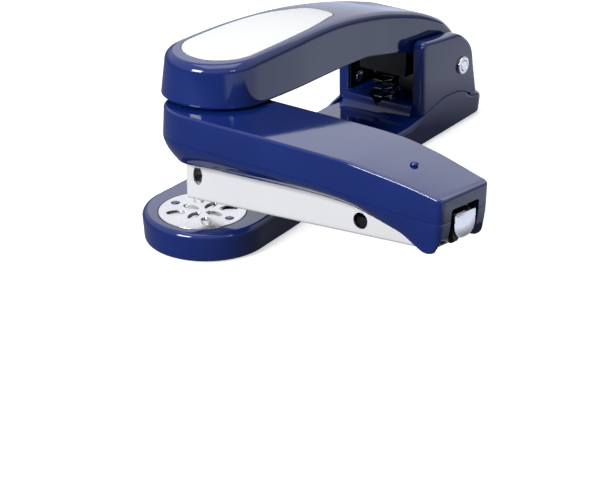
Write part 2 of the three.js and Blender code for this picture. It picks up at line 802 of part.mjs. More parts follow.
// Stiffener plate under the roof of the base, with holes for the posts.
const plateTopZ = baseCeilingZ;
add('base_plate', cut(
  prism(
    roundedBox(-plateHalfWidth, plateFrontY, plateHalfWidth, plateRearY, plateCorner),
    plateTopZ - plateThickness, plateTopZ, rising,
  ),
  ...postPlaces.map(([x, y]) => placed(rod(postRadius + fitGap, 0, baseHeight, smallSides), x, y, 0)),
), basePose, steel, 1, 0.4);

// Rubber pad that closes the base from below, and its screws.
const screwHole = join(
  rod(screwRadius + fitGap, -overrun, padThickness + overrun, smallSides),
  rod(screwHeadRadius + fitGap, -overrun, padScrewRecess + screwHeadHeight, smallSides),
);
add('base_pad', cut(
  laced(baseOutline, [
    { inset: baseWall + baseTaper + fitGap + edgeBreak, height: 0 },
    { inset: baseWall + baseTaper + fitGap, height: edgeBreak },
    { inset: baseWall + baseTaper + fitGap, height: padThickness },
  ]),
  ...postPlaces.map(([x, y]) => placed(screwHole, x, y, 0)),
), basePose, rubber, 0, 0.9);
const screw = cut(
  turned([
    [0, padScrewRecess], [screwHeadRadius - edgeBreak, padScrewRecess],
    [screwHeadRadius, padScrewRecess + edgeBreak],
    [screwHeadRadius, padScrewRecess + screwHeadHeight - slipGap],
    [screwRadius, padScrewRecess + screwHeadHeight - slipGap],
    [screwRadius, padScrewRecess + screwLength - screwRadius],
    [0, padScrewRecess + screwLength],
  ], smallSides),
  prism(
    box(-screwHeadRadius - overrun, -screwSlotWidth / 2, screwHeadRadius + overrun, screwSlotWidth / 2),
    0, padScrewRecess + screwSlotDepth, rising,
  ),
);
['front_left', 'front_right', 'rear_left', 'rear_right'].forEach((where, i) => {
  add(`base_screw_${where}`, placed(screw, postPlaces[i][0], postPlaces[i][1], 0), basePose, steel, 1, 0.35);
});

// Yoke: two cheeks on a sill, with a well for the return spring and a rabbet that
// leaves room for the wave of the base.
const cheekOutline = laidOut(cheekShares, yokeFrontY, yokeDepth, baseHeight, yokeRise);
const cheek = slab(cheekOutline, [
  { inset: cheekInnerRound, height: cheekInnerX },
  { inset: 0, height: cheekInnerX + cheekInnerRound },
  { inset: 0, height: yokeOuterX - cheekRound },
  ...rimLayers(0, yokeOuterX, cheekRound, cheekRound).slice(1),
], alongX);
const sillRearY = yokeFrontY + yokeDepth * sillRearShare;
const sillOutline = [
  [yokeFrontY - sillFillet, baseHeight],
  [sillRearY, baseHeight],
  [sillRearY, sillZ],
  [yokeFrontY + sillBevel, sillZ],
  [yokeFrontY, sillZ - sillBevel],
  ...quarterShares.slice(0, -1).map((share) => [
    yokeFrontY - sillFillet * (1 - Math.cos(share * quarterTurn)),
    baseHeight + sillFillet * (1 - Math.sin(share * quarterTurn)),
  ]),
];
const belowBase = prism(
  box(-baseHalfWidth, yokeFrontY - yokeDepth, baseHalfWidth, baseRear + yokeDepth),
  -overrun, baseHeight, rising,
);
const waveRoom = slab(waveOutline, [
  { inset: -fitGap, height: waveOuterX - waveWall - fitGap },
  { inset: -fitGap, height: waveOuterX + overrun },
], alongX);
const pinBore = placed(
  lyingX(rod(pinRadius + slipGap, -yokeOuterX - overrun, yokeOuterX + overrun, roundSides)),
  0, pinY, pinZ,
);
const well = placed(rod(wellRadius, wellFloor, yokeRise, roundSides), 0, springY, baseHeight);
add('yoke_housing', cut(
  join(
    cheek,
    mirrorX(cheek),
    prism(sillOutline, -cheekInnerX - cheekInnerRound, cheekInnerX + cheekInnerRound, alongX),
  ),
  belowBase, waveRoom, mirrorX(waveRoom), pinBore, well,
), basePose, navy, 0, 0.3);

// Steel frame inside the yoke: two side plates on a floor strip.
const yokeFrameOutline = laidOut(yokeFrameShares, yokeFrontY, yokeDepth, sillZ, yokeRise - sillHeight);
const yokePlate = prism(yokeFrameOutline, cheekInnerX - yokeFrameSheet, cheekInnerX, alongX);
const yokeFloor = prism(
  box(-cheekInnerX, yokeFrontY + yokeDepth * yokeFrameFloorShare, cheekInnerX, yokeFrameOutline[1][0]),
  sillZ, sillZ + yokeFrameSheet, rising,
);
add('yoke_frame', cut(
  join(yokePlate, mirrorX(yokePlate), yokeFloor), pinBore,
), basePose, darkSteel, 0.9, 0.45);

// Rivets that close the steel frame, the arm's pin and the cap on its end.
const rivetInnerX = cheekInnerX - yokeFrameSheet - rivetHeight;
const rivet = placed(lyingX(turned([
  [0, rivetInnerX], [rivetRadius - rivetHeight, rivetInnerX],
  [rivetRadius, rivetInnerX + rivetHeight / 2], [rivetRadius, rivetInnerX + rivetHeight],
  [0, rivetInnerX + rivetHeight],
], smallSides)), 0, rivetY, rivetZ);
add('frame_rivet_right', rivet, basePose, steel, 1, 0.35);
add('frame_rivet_left', mirrorX(rivet), basePose, steel, 1, 0.35);
add('pivot_pin', placed(lyingX(turned([
  [0, -yokeOuterX - pinHeadHeight], [pinHeadRadius - edgeBreak, -yokeOuterX - pinHeadHeight],
  [pinHeadRadius, -yokeOuterX - pinHeadHeight + edgeBreak], [pinHeadRadius, -yokeOuterX],
  [pinRadius, -yokeOuterX], [pinRadius, yokeOuterX], [pinEndRadius, yokeOuterX],
  [pinEndRadius, yokeOuterX + pinEndLength], [0, yokeOuterX + pinEndLength],
], roundSides)), 0, pinY, pinZ), basePose, steel, 1, 0.25);
add('pin_cap', placed(lyingX(turned([
  [pinEndRadius + slipGap, yokeOuterX], [pinHeadRadius, yokeOuterX],
  [pinHeadRadius, yokeOuterX + pinHeadHeight - edgeBreak],
  [pinHeadRadius - edgeBreak, yokeOuterX + pinHeadHeight],
  [pinEndRadius + slipGap, yokeOuterX + pinHeadHeight], [pinEndRadius + slipGap, yokeOuterX],
], roundSides)), 0, pinY, pinZ), basePose, steel, 1, 0.25);

// Return spring, standing in the well of the yoke.
add('return_spring', placed(
  coil(springRadius, springWire, springCurls, springHeight),
  0, springY, baseHeight + wellFloor + slipGap,
), basePose, steel, 1, 0.3);

// Arm shell: a hollow cover with a boss for the swivel, a seat for the inlay and bores
// for the pin.
const edgeOf = (x, y) => edgeAt(y);
const crownOf = (x, y) => crownAt(y);
const armRoundOf = (x, y) => armRoundAt(y);
const armBody = laced(armOutline, [
  { inset: edgeChamfer, height: edgeOf },
  { inset: 0, height: (x, y) => edgeAt(y) + edgeChamfer },
  ...rimLayers(drumTaper, crownOf, armRoundIn, armRoundOf),
]);
const armHollow = laced(armOutline, [
  { inset: armWall, height: (x, y) => edgeAt(y) - overrun },
  ...rimLayers(armWall + drumTaper, (x, y) => crownAt(y) - armCeiling, armRoundIn, armRoundOf),
]);
const armBoss = rod(bossRadius, armEdge + bossFoot, crownAt(0) - armCeiling * bossRootShare, roundSides);
const inlayOutline = mirroredOutline(
  drumY, inlayRadius, laidOut(inlayWidthShares, drumY, inlayLength, 0, inlayRadius),
  drumY + inlayLength, inlayCorner,
);
const inlaySeat = laced(inlayOutline, [
  { inset: -fitGap, height: (x, y) => crownAt(y) - inlayThickness - fitGap },
  { inset: -fitGap, height: armCrown + overrun },
]);
add('arm_shell', cut(
  join(cut(armBody, armHollow), armBoss),
  inlaySeat,
  rod(clipPocketRadius, clipSeatZ, armCrown, roundSides),
  rod(axleRadius + slipGap, armEdge, armCrown, roundSides),
  pinBore,
), armPose, navy, 0, 0.3);
add('arm_inlay', laced(inlayOutline, [
  { inset: 0, height: (x, y) => crownAt(y) - inlayThickness },
  { inset: 0, height: crownOf },
  { inset: inlayRim, height: (x, y) => crownAt(y) + inlayProud },
]), armPose, silver, 0.3, 0.35);

// Folded frame inside the arm: two sides, a top, a front web and a foot on the spring.
const armFrameOutline = laidOut(
  armFrameShares, armFrameFrontY, armFrameDepth, armFrameFootZ, armFrameRise,
);
const armFrameInnerX = armFrameHalfWidth - armFrameSheet;
const armFrameOpening = prism(box(
  armFrameFrontY + armFrameDepth * armFrameBendShare, pinZ - armFrameRise,
  armFrameFrontY + armFrameDepth * armFrameRearShare, pinZ - pinRadius,
), -armFrameInnerX, armFrameInnerX, alongX);
add('arm_frame', cut(
  prism(armFrameOutline, -armFrameHalfWidth, armFrameHalfWidth, alongX),
  slab(armFrameOutline, [
    { inset: armFrameSheet, height: -armFrameInnerX },
    { inset: armFrameSheet, height: armFrameInnerX },
  ], alongX),
  armFrameOpening,
  pinBore,
), armPose, darkSteel, 0.9, 0.45);
const sleeveHalfLength = armFrameInnerX - fitGap;
add('pivot_sleeve', placed(lyingX(washer(
  pinRadius + slipGap, sleeveRadius, -sleeveHalfLength, sleeveHalfLength, roundSides,
)), 0, pinY, pinZ), armPose, black, 0, 0.6);

// Swivel: the axle comes up through the head into the boss of the arm, where a washer
// and a clip hold it.
const headCeilingW = headTop - headCeiling;
const frameRoofW = headFrameFootW + headFrameRise - headFrameSheet;
const flangeTop = frameRoofW - fitGap;
const flangeFoot = flangeTop - axleFlangeHeight;
const washerFoot = clipSeatZ + fitGap;
const neckFoot = washerFoot + washerThickness;
const clipFoot = neckFoot + slipGap;
const neckTop = clipFoot + clipThickness + slipGap;
add('swivel_axle', turned([
  [0, flangeFoot], [axleFlangeRadius - edgeBreak, flangeFoot],
  [axleFlangeRadius, flangeFoot + edgeBreak], [axleFlangeRadius, flangeTop],
  [axleRadius, flangeTop], [axleRadius, neckFoot], [axleNeckRadius, neckFoot],
  [axleNeckRadius, neckTop], [axleRadius, neckTop], [axleRadius, axleTopZ - edgeBreak],
  [axleRadius - edgeBreak, axleTopZ], [0, axleTopZ],
], roundSides), armPose, steel, 1, 0.3);
add('swivel_washer', washer(
  axleRadius + slipGap, washerOuterRadius, washerFoot, neckFoot, roundSides,
), armPose, steel, 1, 0.35);
add('swivel_clip', cut(
  washer(axleNeckRadius + slipGap, clipOuterRadius, clipFoot, clipFoot + clipThickness, roundSides),
  prism(box(-axleNeckRadius, 0, axleNeckRadius, clipOuterRadius + overrun), clipSeatZ, axleTopZ, rising),
), armPose, darkSteel, 1, 0.4);

// Head: an upper cover and a drawn-in skirt that meet at the seam.
const headTopOf = (u) => headTopAt(u);
const tailNotch = prism(
  box(tailU - tailNotchDepth, -tailNotchHalfWidth, tailU + overrun, tailNotchHalfWidth),
  0, tailNotchTop, rising,
);
const nubStemRoom = placed(rod(nubStemRadius + slipGap, seamHeight, headTop + overrun, smallSides), nubU, 0, 0);
add('head_cover', cut(
  laced(headOutline, [
    { inset: 0, height: (u) => seamAt(u) + slipGap },
    ...rimLayers(0, headTopOf, headRound, headRound),
  ]),
  laced(headOutline, [
    { inset: headWall, height: (u) => seamAt(u) - overrun },
    { inset: headWall, height: (u) => headTopAt(u) - headCeiling },
  ]),
  tailNotch,
  rod(axleRadius + slipGap, headCeilingW - overrun, headTop + overrun, roundSides),
  nubStemRoom,
), headPose, navy, 0, 0.3);
const skirtLayers = (wall) => skirtBulgeShares.map((share) => ({
  inset: (u) => wall + skirtDrawAt(u) * share ** 2,
  height: (u) => seamAt(u) - slipGap - (seamAt(u) - slipGap - skirtEdgeAt(u)) * share,
}));
add('head_skirt', cut(
  laced(headOutline, skirtLayers(0)),
  laced(headOutline, [
    { inset: (u) => skirtDrawAt(u) + skirtWall, height: (u) => skirtEdgeAt(u) - overrun },
    ...skirtLayers(skirtWall),
    { inset: skirtWall, height: (u) => seamAt(u) + overrun },
  ]),
  tailNotch,
), headPose, navy, 0, 0.3);
const nubFoot = headTopAt(nubU) + fitGap;
add('detent_nub', placed(turned([
  [0, headTopAt(nubU) - headCeiling], [nubStemRadius, headTopAt(nubU) - headCeiling],
  [nubStemRadius, nubFoot], [nubRadius, nubFoot],
  ...quarterShares.map((share) => [
    nubRadius * Math.cos(share * quarterTurn), nubFoot + nubRise * Math.sin(share * quarterTurn),
  ]).slice(1),
], smallSides), nubU, 0, 0), headPose, navy, 0, 0.3);

// Head frame: a folded channel under the cover that holds the driver blade in front
// and the magazine's hinge at the tail.
const headFrameOutline = laidOut(
  headFrameShares, headFrameFrontU, headFrameRearU - headFrameFrontU, headFrameFootW, headFrameRise,
);
const headFrameInnerV = headFrameHalfWidth - headFrameSheet;
const channelOutline = headFrameShares.map(([a, b], i) => [
  headFrameOutline[i][0] + overrun * (a === 0 ? -1 : a === 1 ? 1 : 0),
  headFrameOutline[i][1] - (b < headFrameRoofShare && a < 1 ? headFrameFootW : headFrameSheet),
]);
const acrossHinge = (geometry) => placed(lyingY(geometry), hingeU, 0, hingeW);
const stubBore = acrossHinge(rod(stubRadius + slipGap, -headRadius, headRadius, smallSides));
const bladeRearU = bladeFrontU + bladeThickness;
const bridge = prism(
  box(bladeRearU + fitGap, bridgeFootW, bladeRearU + fitGap + headFrameSheet, bladeTopW),
  -headFrameInnerV - edgeBreak, headFrameInnerV + edgeBreak, alongY,
);
add('head_frame', cut(
  join(
    cut(
      prism(headFrameOutline, -headFrameHalfWidth, headFrameHalfWidth, alongY),
      prism(channelOutline, -headFrameInnerV, headFrameInnerV, alongY),
    ),
    bridge,
  ),
  rod(axleRadius + slipGap, frameRoofW - overrun, headTop, roundSides),
  stubBore,
), headPose, darkSteel, 0.9, 0.45);
add('driver_blade', prism(
  box(bladeFrontU, bladeFootW, bladeRearU, bladeTopW), -bladeHalfWidth, bladeHalfWidth, alongY,
), headPose, steel, 1, 0.25);
const stubInnerV = magazineHalfWidth - magazineWall + slipGap;
const stubHeadV = headFrameHalfWidth + slipGap;
const stub = turned([
  [0, stubInnerV], [stubRadius, stubInnerV], [stubRadius, stubHeadV],
  [stubHeadRadius, stubHeadV], [stubHeadRadius, stubHeadV + stubHeadHeight - edgeBreak],
  [stubHeadRadius - edgeBreak, stubHeadV + stubHeadHeight], [0, stubHeadV + stubHeadHeight],
], smallSides);
add('hinge_stub_left', acrossHinge(stub), headPose, steel, 1, 0.35);
add('hinge_stub_right', acrossHinge(stub.clone().rotateX(Math.PI)), headPose, steel, 1, 0.35);

// Spring between the head frame and the magazine's roof, which is drooped at rest.
const roofDrop = (hingeU - headSpringU) * Math.sin(radians(magazineDroop));
add('head_spring', placed(
  coil(headSpringRadius, headSpringWire, headSpringCurls, headSpringHeight),
  headSpringU, 0, magazineFoot + magazineHeight - roofDrop + fitGap,
), headPose, steel, 1, 0.3);

// Magazine: a thin channel, closed below, with ears on the hinge, a slot for the staple
// at the front and a hole in each side near the front and further back.
const magazineTop = magazineFoot + magazineHeight;
const magazineInnerV = magazineHalfWidth - magazineWall;
const magazineInnerU = magazineFrontU + magazineFrontWall;
const magazineRearU = hingeU + earRadius;
const magazineSide = [
  [magazineFrontU + edgeBreak, magazineFoot],
  [floorRearU, magazineFoot],
  ...laidOut(earShares, hingeU, earRadius, hingeW, earRadius),
  ...quarterShares.map((share) => [
    magazineFrontU + magazineNoseRound * (1 - Math.sin(share * quarterTurn)),
    magazineTop - magazineNoseRound * (1 - Math.cos(share * quarterTurn)),
  ]),
  [magazineFrontU, magazineFoot + edgeBreak],
];
const insideBox = (u0, u1, w0, w1, halfWidth) => prism(
  box(u0, w0, u1, w1), -halfWidth, halfWidth, alongY,
);
const sideHole = (outline) => prism(outline, -headRadius, headRadius, alongY);
const frontHole = sideHole(ringOutline(0, 0, 1, smallSides).map(([u, w]) => [
  frontHoleU + u * frontHoleHalfLength,
  frontHoleW + Math.min(w, frontHoleFlatShare) * frontHoleHalfHeight,
]));
add('magazine_channel', cut(
  meet(
    prism(roundedBox(
      -magazineHalfWidth, magazineFoot, magazineHalfWidth, magazineTop + magazineRound, magazineRound,
    ), magazineFrontU - overrun, magazineRearU + overrun, alongX),
    prism(magazineSide, -headRadius, headRadius, alongY),
  ),
  insideBox(magazineInnerU, magazineRearU + overrun, magazineFoot + magazineFloor,
    magazineTop - magazineRoof, magazineInnerV),
  insideBox(magazineInnerU, roofFrontU, magazineFoot + magazineFloor, magazineTop + overrun,
    magazineInnerV),
  insideBox(roofRearU, magazineRearU + overrun, magazineFoot + magazineFloor,
    magazineTop + overrun, magazineInnerV),
  insideBox(magazineInnerU, magazineInnerU + slotLength, magazineFoot - overrun,
    magazineFoot + magazineRound, magazineInnerV - slipGap),
  frontHole,
  sideHole(ringOutline(rearHoleU, rearHoleW, rearHoleRadius, smallSides)),
  stubBore,
), magazinePose, pale, 0, 0.4);

// A half strip of staples, the rail inside it and the rod that guides the spring.
const staplesFoot = magazineFoot + magazineFloor + fitGap;
const staplesTop = staplesFoot + stapleLeg;
const staplesInnerV = staplesHalfWidth - stapleWire;
add('staple_strip', prism([
  [-staplesHalfWidth, staplesFoot], [-staplesInnerV, staplesFoot],
  [-staplesInnerV, staplesTop - stapleWire], [staplesInnerV, staplesTop - stapleWire],
  [staplesInnerV, staplesFoot], [staplesHalfWidth, staplesFoot],
  [staplesHalfWidth, staplesTop], [-staplesHalfWidth, staplesTop],
], staplesFrontU, staplesFrontU + staplesLength, alongX), magazinePose, steel, 1, 0.3);
const railTop = staplesTop - stapleWire - fitGap;
const railOuterV = staplesInnerV - fitGap;
const railInnerV = railOuterV - railSheet;
const rodBore = placed(lyingX(rod(rodRadius + slipGap, 0, railRearU, smallSides)), 0, 0, rodW);
add('staple_rail', cut(
  prism(box(railFrontU, staplesFoot, railRearU, railTop), -railOuterV, railOuterV, alongY),
  insideBox(railFrontU + railWebThickness, railRearU + overrun, staplesFoot - overrun,
    railTop - railSheet, railInnerV),
  insideBox(railSlotFrontU, railSlotRearU, staplesFoot, railTop + overrun, railSlotHalfWidth),
  rodBore,
), magazinePose, steel, 1, 0.35);

// Block on the rear of the rail, with two lugs for the latch pin.
const blockFrontU = railRearU + fitGap;
const blockRearU = blockFrontU + endBlockLength;
const blockHalfWidth = magazineInnerV - fitGap;
const blockTop = staplesFoot + endBlockHeight;
const lugOuterV = latchHalfWidth - latchPlate - fitGap;
const lugInnerV = lugOuterV - lugThickness;
const lug = prism(
  box(blockRearU - lugLength, blockTop - edgeBreak, blockRearU, latchPinW + latchEyeRadius),
  lugInnerV, lugOuterV, alongY,
);
const latchPinU = blockRearU - lugLength / 2;
const atLatchPin = (geometry) => placed(lyingY(geometry), latchPinU, 0, latchPinW);
const latchPinBore = atLatchPin(
  rod(latchPinRadius + slipGap, -magazineHalfWidth, magazineHalfWidth, smallSides),
);
const blockSide = [
  [blockFrontU, staplesFoot],
  ...quarterShares.map((share) => [
    blockRearU - (endBlockLength - endBlockLip) * Math.cos(share * quarterTurn),
    staplesFoot + endBlockRise * (1 - Math.cos(share * quarterTurn)),
  ]),
  [blockRearU, blockTop],
  [blockFrontU, blockTop],
];
add('rail_end', cut(
  join(
    meet(
      prism(roundedBox(-blockHalfWidth, staplesFoot, blockHalfWidth, blockTop, endBlockRound),
        blockFrontU, blockRearU, alongX),
      prism(blockSide, -headRadius, headRadius, alongY),
    ),
    lug,
    placed(lug, 0, -lugInnerV - lugOuterV, 0),
  ),
  latchPinBore,
  placed(lyingX(rod(rodRadius + slipGap, railRearU, blockFrontU + rodSeat + fitGap, smallSides)), 0, 0, rodW),
), magazinePose, black, 0, 0.5);
add('guide_rod', placed(lyingX(softRod(
  rodRadius, rodFrontU, blockFrontU + rodSeat, edgeBreak, smallSides,
)), 0, 0, rodW), magazinePose, steel, 1, 0.3);
add('latch_pin', atLatchPin(softRod(
  latchPinRadius, -latchHalfWidth, latchHalfWidth, edgeBreak, smallSides,
)), magazinePose, steel, 1, 0.3);

// Pusher: rides on the rail behind the staples, with a tongue through the rail's slot
// to an eye on the rod.
const pusherFrontU = staplesFrontU + staplesLength + fitGap;
const pusherRearU = pusherFrontU + pusherLength;
const tongueFrontU = pusherFrontU + tongueInset;
const tongueRearU = pusherRearU - tongueInset;
add('pusher', cut(
  join(
    cut(
      insideBox(pusherFrontU, pusherRearU, staplesFoot, railTop + pusherRise, staplesHalfWidth),
      insideBox(pusherFrontU - overrun, pusherRearU + overrun, staplesFoot - overrun,
        railTop + fitGap, railOuterV + fitGap),
    ),
    insideBox(tongueFrontU, tongueRearU, rodW, railTop + pusherRise / 2, tongueHalfWidth),
    insideBox(tongueFrontU, tongueRearU, rodW - eyeHalfWidth, rodW + eyeHalfWidth, eyeHalfWidth),
  ),
  placed(lyingX(rod(rodRadius + slipGap, 0, railRearU, smallSides)), 0, 0, rodW),
), magazinePose, black, 0, 0.5);
add('pusher_spring', placed(
  lyingX(coil(pusherSpringRadius, pusherSpringWire, pusherSpringCurls,
    railRearU - tongueRearU - fitGap)),
  tongueRearU + fitGap, 0, rodW,
), magazinePose, steel, 1, 0.3);

// Latch: a bent steel stirrup, round at its foot, whose two flanks swing on the pin.
const latchFrontU = blockRearU + fitGap;
const latchRearU = latchFrontU + latchPlate;
const latchTopW = latchFootW + latchHeight;
const latchCurve = quarterShares.map((share) => [
  latchHalfWidth - latchRound * (1 - Math.sin(share * quarterTurn)),
  latchFootW + latchRound * (1 - Math.cos(share * quarterTurn)),
]);
const latchOutline = [
  ...latchCurve, [latchHalfWidth, latchTopW], [-latchHalfWidth, latchTopW],
  ...[...latchCurve].reverse().map(([v, w]) => [-v, w]),
];
const latchFlank = cut(
  join(
    atLatchPin(rod(latchEyeRadius, latchHalfWidth - latchPlate, latchHalfWidth, smallSides)),
    prism(box(latchPinU, latchPinW - latchEyeRadius, latchFrontU + latchPlate / 2, latchTopW),
      latchHalfWidth - latchPlate, latchHalfWidth, alongY),
  ),
  latchPinBore,
);
add('rail_latch', join(
  slab(latchOutline, [
    { inset: 0, height: latchFrontU },
    { inset: 0, height: latchRearU - edgeBreak },
    { inset: edgeBreak, height: latchRearU },
  ], alongX),
  latchFlank,
  placed(latchFlank, 0, latchPlate - 2 * latchHalfWidth, 0),
), magazinePose, steel, 1, 0.25);

const total = part.children.reduce((sum, mesh) => sum + mesh.geometry.index.count / 3, 0);
console.log(`${part.children.length} pieces, ${total} triangles`);

export default part;
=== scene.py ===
# %% [markdown]
# # A stapler whose head swings out beside its arm
# The real object is a long desk stapler in glossy navy plastic. A flat base carries a
# round steel anvil at its front and a yoke at its rear. An arm is hinged in the yoke,
# and below the front of the arm the stapling head turns on an upright axle.
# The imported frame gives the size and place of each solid. This lesson builds finer
# shells, springs and fittings in their places, and finishes and lights for all of them.

import math

import bmesh
import bpy
import numpy as np
from mathutils import Matrix, Vector


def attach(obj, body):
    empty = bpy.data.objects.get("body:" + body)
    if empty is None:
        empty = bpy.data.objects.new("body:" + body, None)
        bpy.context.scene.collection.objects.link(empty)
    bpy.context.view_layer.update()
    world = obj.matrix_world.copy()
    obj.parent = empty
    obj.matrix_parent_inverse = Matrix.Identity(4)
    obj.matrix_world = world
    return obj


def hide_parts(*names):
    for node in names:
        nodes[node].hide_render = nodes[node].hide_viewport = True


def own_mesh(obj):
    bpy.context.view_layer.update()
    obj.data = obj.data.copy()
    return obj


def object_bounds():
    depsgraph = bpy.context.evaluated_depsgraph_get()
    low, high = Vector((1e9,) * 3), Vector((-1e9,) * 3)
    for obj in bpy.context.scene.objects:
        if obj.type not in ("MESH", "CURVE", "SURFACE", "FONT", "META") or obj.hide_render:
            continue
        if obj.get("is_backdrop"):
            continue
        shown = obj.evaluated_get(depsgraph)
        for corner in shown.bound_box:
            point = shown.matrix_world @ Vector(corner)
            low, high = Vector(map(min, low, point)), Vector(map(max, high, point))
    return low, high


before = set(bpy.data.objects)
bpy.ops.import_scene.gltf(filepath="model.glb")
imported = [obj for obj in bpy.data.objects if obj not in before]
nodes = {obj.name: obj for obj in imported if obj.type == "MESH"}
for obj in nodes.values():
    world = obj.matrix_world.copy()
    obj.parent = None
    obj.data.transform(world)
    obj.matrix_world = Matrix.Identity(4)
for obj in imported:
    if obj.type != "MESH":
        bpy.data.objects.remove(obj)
cad_low, cad_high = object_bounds()
print("solids:", len(nodes), "size in mm:", [round(v * 1000, 1) for v in cad_high - cad_low])

# %% [markdown]
# ## Where each moving group stands
# Each piece is easiest to think about in the place where it was moulded: the arm level
# and the head straight out to the side. A pose matrix then tilts the arm round its pin,
# swings the head round the axle and lets the magazine droop on its hinge.
# Matrices are multiplied from the outermost joint inwards.

# %% Poses
MM = 0.001
PIN_Y, PIN_Z = 143.7, 25.0
HINGE_U, HINGE_W = 103.5, 22.5
ARM_TILT, HEAD_SWING, MAGAZINE_DROOP = 5.5, 2.0, 4.0

def about(place, turn):
    return Matrix.Translation(place) @ turn @ Matrix.Translation(-Vector(place))

base_pose = Matrix.Identity(4)
arm_pose = about((0, PIN_Y, PIN_Z), Matrix.Rotation(math.radians(-ARM_TILT), 4, "X"))
head_pose = arm_pose @ Matrix.Rotation(math.radians(-HEAD_SWING), 4, "Z")
droop = Matrix.Rotation(math.radians(-MAGAZINE_DROOP), 4, "Y")
magazine_pose = head_pose @ about((HINGE_U, 0, HINGE_W), droop)
along_head = Matrix.Rotation(math.radians(-90), 4, "Z")
across = Matrix(((0, 0, 1, 0), (1, 0, 0, 0), (0, 1, 0, 0), (0, 0, 0, 1)))
side_view = Matrix(((1, 0, 0, 0), (0, 0, -1, 0), (0, 1, 0, 0), (0, 0, 0, 1)))
print("axle leans back by", round(math.degrees(arm_pose.to_euler().x), 2), "degrees")

# %% [markdown]
# ## Smooth tables and outlines
# The widths and heights of the shells were read off the photograph as short tables.
# A curve with a soft slope at each point runs through a table, so that the shell has no
# kink where two entries meet. The plan outline of every shell is alike on both sides,
# so only its right half is worked out, and the left half is its mirror image.

# %% Curves through a table
def follow(table, start=0.0, length=1.0, scale=1.0):
    a = np.array([start + share * length for share, _ in table])
    b = np.array([share * scale for _, share in table])
    chord = np.diff(b) / np.diff(a)
    slope = np.concatenate([[chord[0]], (b[2:] - b[:-2]) / (a[2:] - a[:-2]), [chord[-1]]])

    def at(x):
        x = np.clip(np.asarray(x, float), a[0], a[-1])
        i = np.clip(np.searchsorted(a, x) - 1, 0, len(a) - 2)
        width = a[i + 1] - a[i]
        t = (x - a[i]) / width
        return (b[i] * (1 + 2 * t) * (1 - t) ** 2 + slope[i] * width * t * (1 - t) ** 2
                + b[i + 1] * t * t * (3 - 2 * t) - slope[i + 1] * width * t * t * (1 - t))
    return at


def quarter(steps):
    return [math.pi / 2 * i / steps for i in range(steps + 1)]


def shell_outline(front, radius, width_at, rear, corner, step=1.4):
    half = [(radius * math.sin(t), front - radius * math.cos(t)) for t in quarter(26)]
    half += [(float(width_at(y)), y) for y in np.arange(front + step, rear - corner - step / 3, step)]
    wide = float(width_at(rear - corner))
    half += [(wide - corner + corner * math.cos(t), rear - corner + corner * math.sin(t))
             for t in quarter(9)]
    return half + [(-x, y) for x, y in half[:0:-1]]


def circle(centre_a, centre_b, radius, sides=48):
    turn = [2 * math.pi * i / sides for i in range(sides)]
    return [(centre_a + radius * math.cos(t), centre_b + radius * math.sin(t)) for t in turn]


def soft_box(a0, b0, a1, b1, radius, steps=6):
    corners = [(a1, b0, 1, -1), (a1, b1, 1, 1), (a0, b1, -1, 1), (a0, b0, -1, -1)]
    points = []
    for k, (a, b, sa, sb) in enumerate(corners):
        for t in quarter(steps):
            turn = t + (k - 1) * math.pi / 2
            points.append((a - sa * radius + radius * math.cos(turn),
                           b - sb * radius + radius * math.sin(turn)))
    return points

# %% [markdown]
# ## Lofts, lathe forms and cuts
# A moulded shell is a stack of rings: each ring is the outline, drawn in by some inset
# and lifted to some height. Faces between the rings make the walls, the lip and the
# rounded rim in one go. The two ends of the stack are filled by rungs that join each
# point to its mirror point, which keeps the shading of a glossy surface calm.
# Round fittings are a profile turned round an axis. Holes are cut with a boolean
# modifier that is applied straight away, as a tool would cut them.

# %% Rings and fills
def inward(points):
    one = points - np.roll(points, 1, 0)
    two = np.roll(points, -1, 0) - points
    one /= np.linalg.norm(one, axis=1)[:, None]
    two /= np.linalg.norm(two, axis=1)[:, None]
    step = np.column_stack([-one[:, 1] - two[:, 1], one[:, 0] + two[:, 0]])
    return step * (2 / (step ** 2).sum(1))[:, None]


def loft(outline, layers, fill="rungs"):
    flat = np.array(outline, float)
    steps = inward(flat)
    at = lambda value: value(flat[:, 1]) if callable(value) else np.full(len(flat), float(value))
    rings = [np.column_stack([flat + steps * at(inset)[:, None], at(height)]) for inset, height in layers]
    count, last = len(flat), len(layers) - 1
    faces = []
    for k in range(last):
        for i in range(count):
            j = (i + 1) % count
            faces.append((k * count + i, k * count + j, (k + 1) * count + j, (k + 1) * count + i))
    for first in () if fill == "none" else (0, last * count):
        if fill == "face":
            faces.append(tuple(range(first, first + count)))
        else:
            faces.append((first, first + 1, first + count - 1))
            faces += [(first + i, first + i + 1, first + count - i - 1, first + count - i)
                      for i in range(1, (count - 1) // 2)]
    return np.vstack(rings), faces


def turned(profile, sides=56):
    points, faces = [], []
    for radius, height in profile:
        points += [(a, b, height) for a, b in circle(0, 0, radius, sides)]
    for k in range(len(profile) - 1):
        for i in range(sides):
            j = (i + 1) % sides
            faces.append((k * sides + i, k * sides + j, (k + 1) * sides + j, (k + 1) * sides + i))
    return np.array(points), faces


def softened(radius, low, high, edge, steps=5):
    up = [(radius - edge + edge * math.sin(t), low + edge - edge * math.cos(t)) for t in quarter(steps)]
    down = [(radius - edge + edge * math.cos(t), high - edge + edge * math.sin(t)) for t in quarter(steps)]
    return [(0, low)] + up + down + [(0, high)]

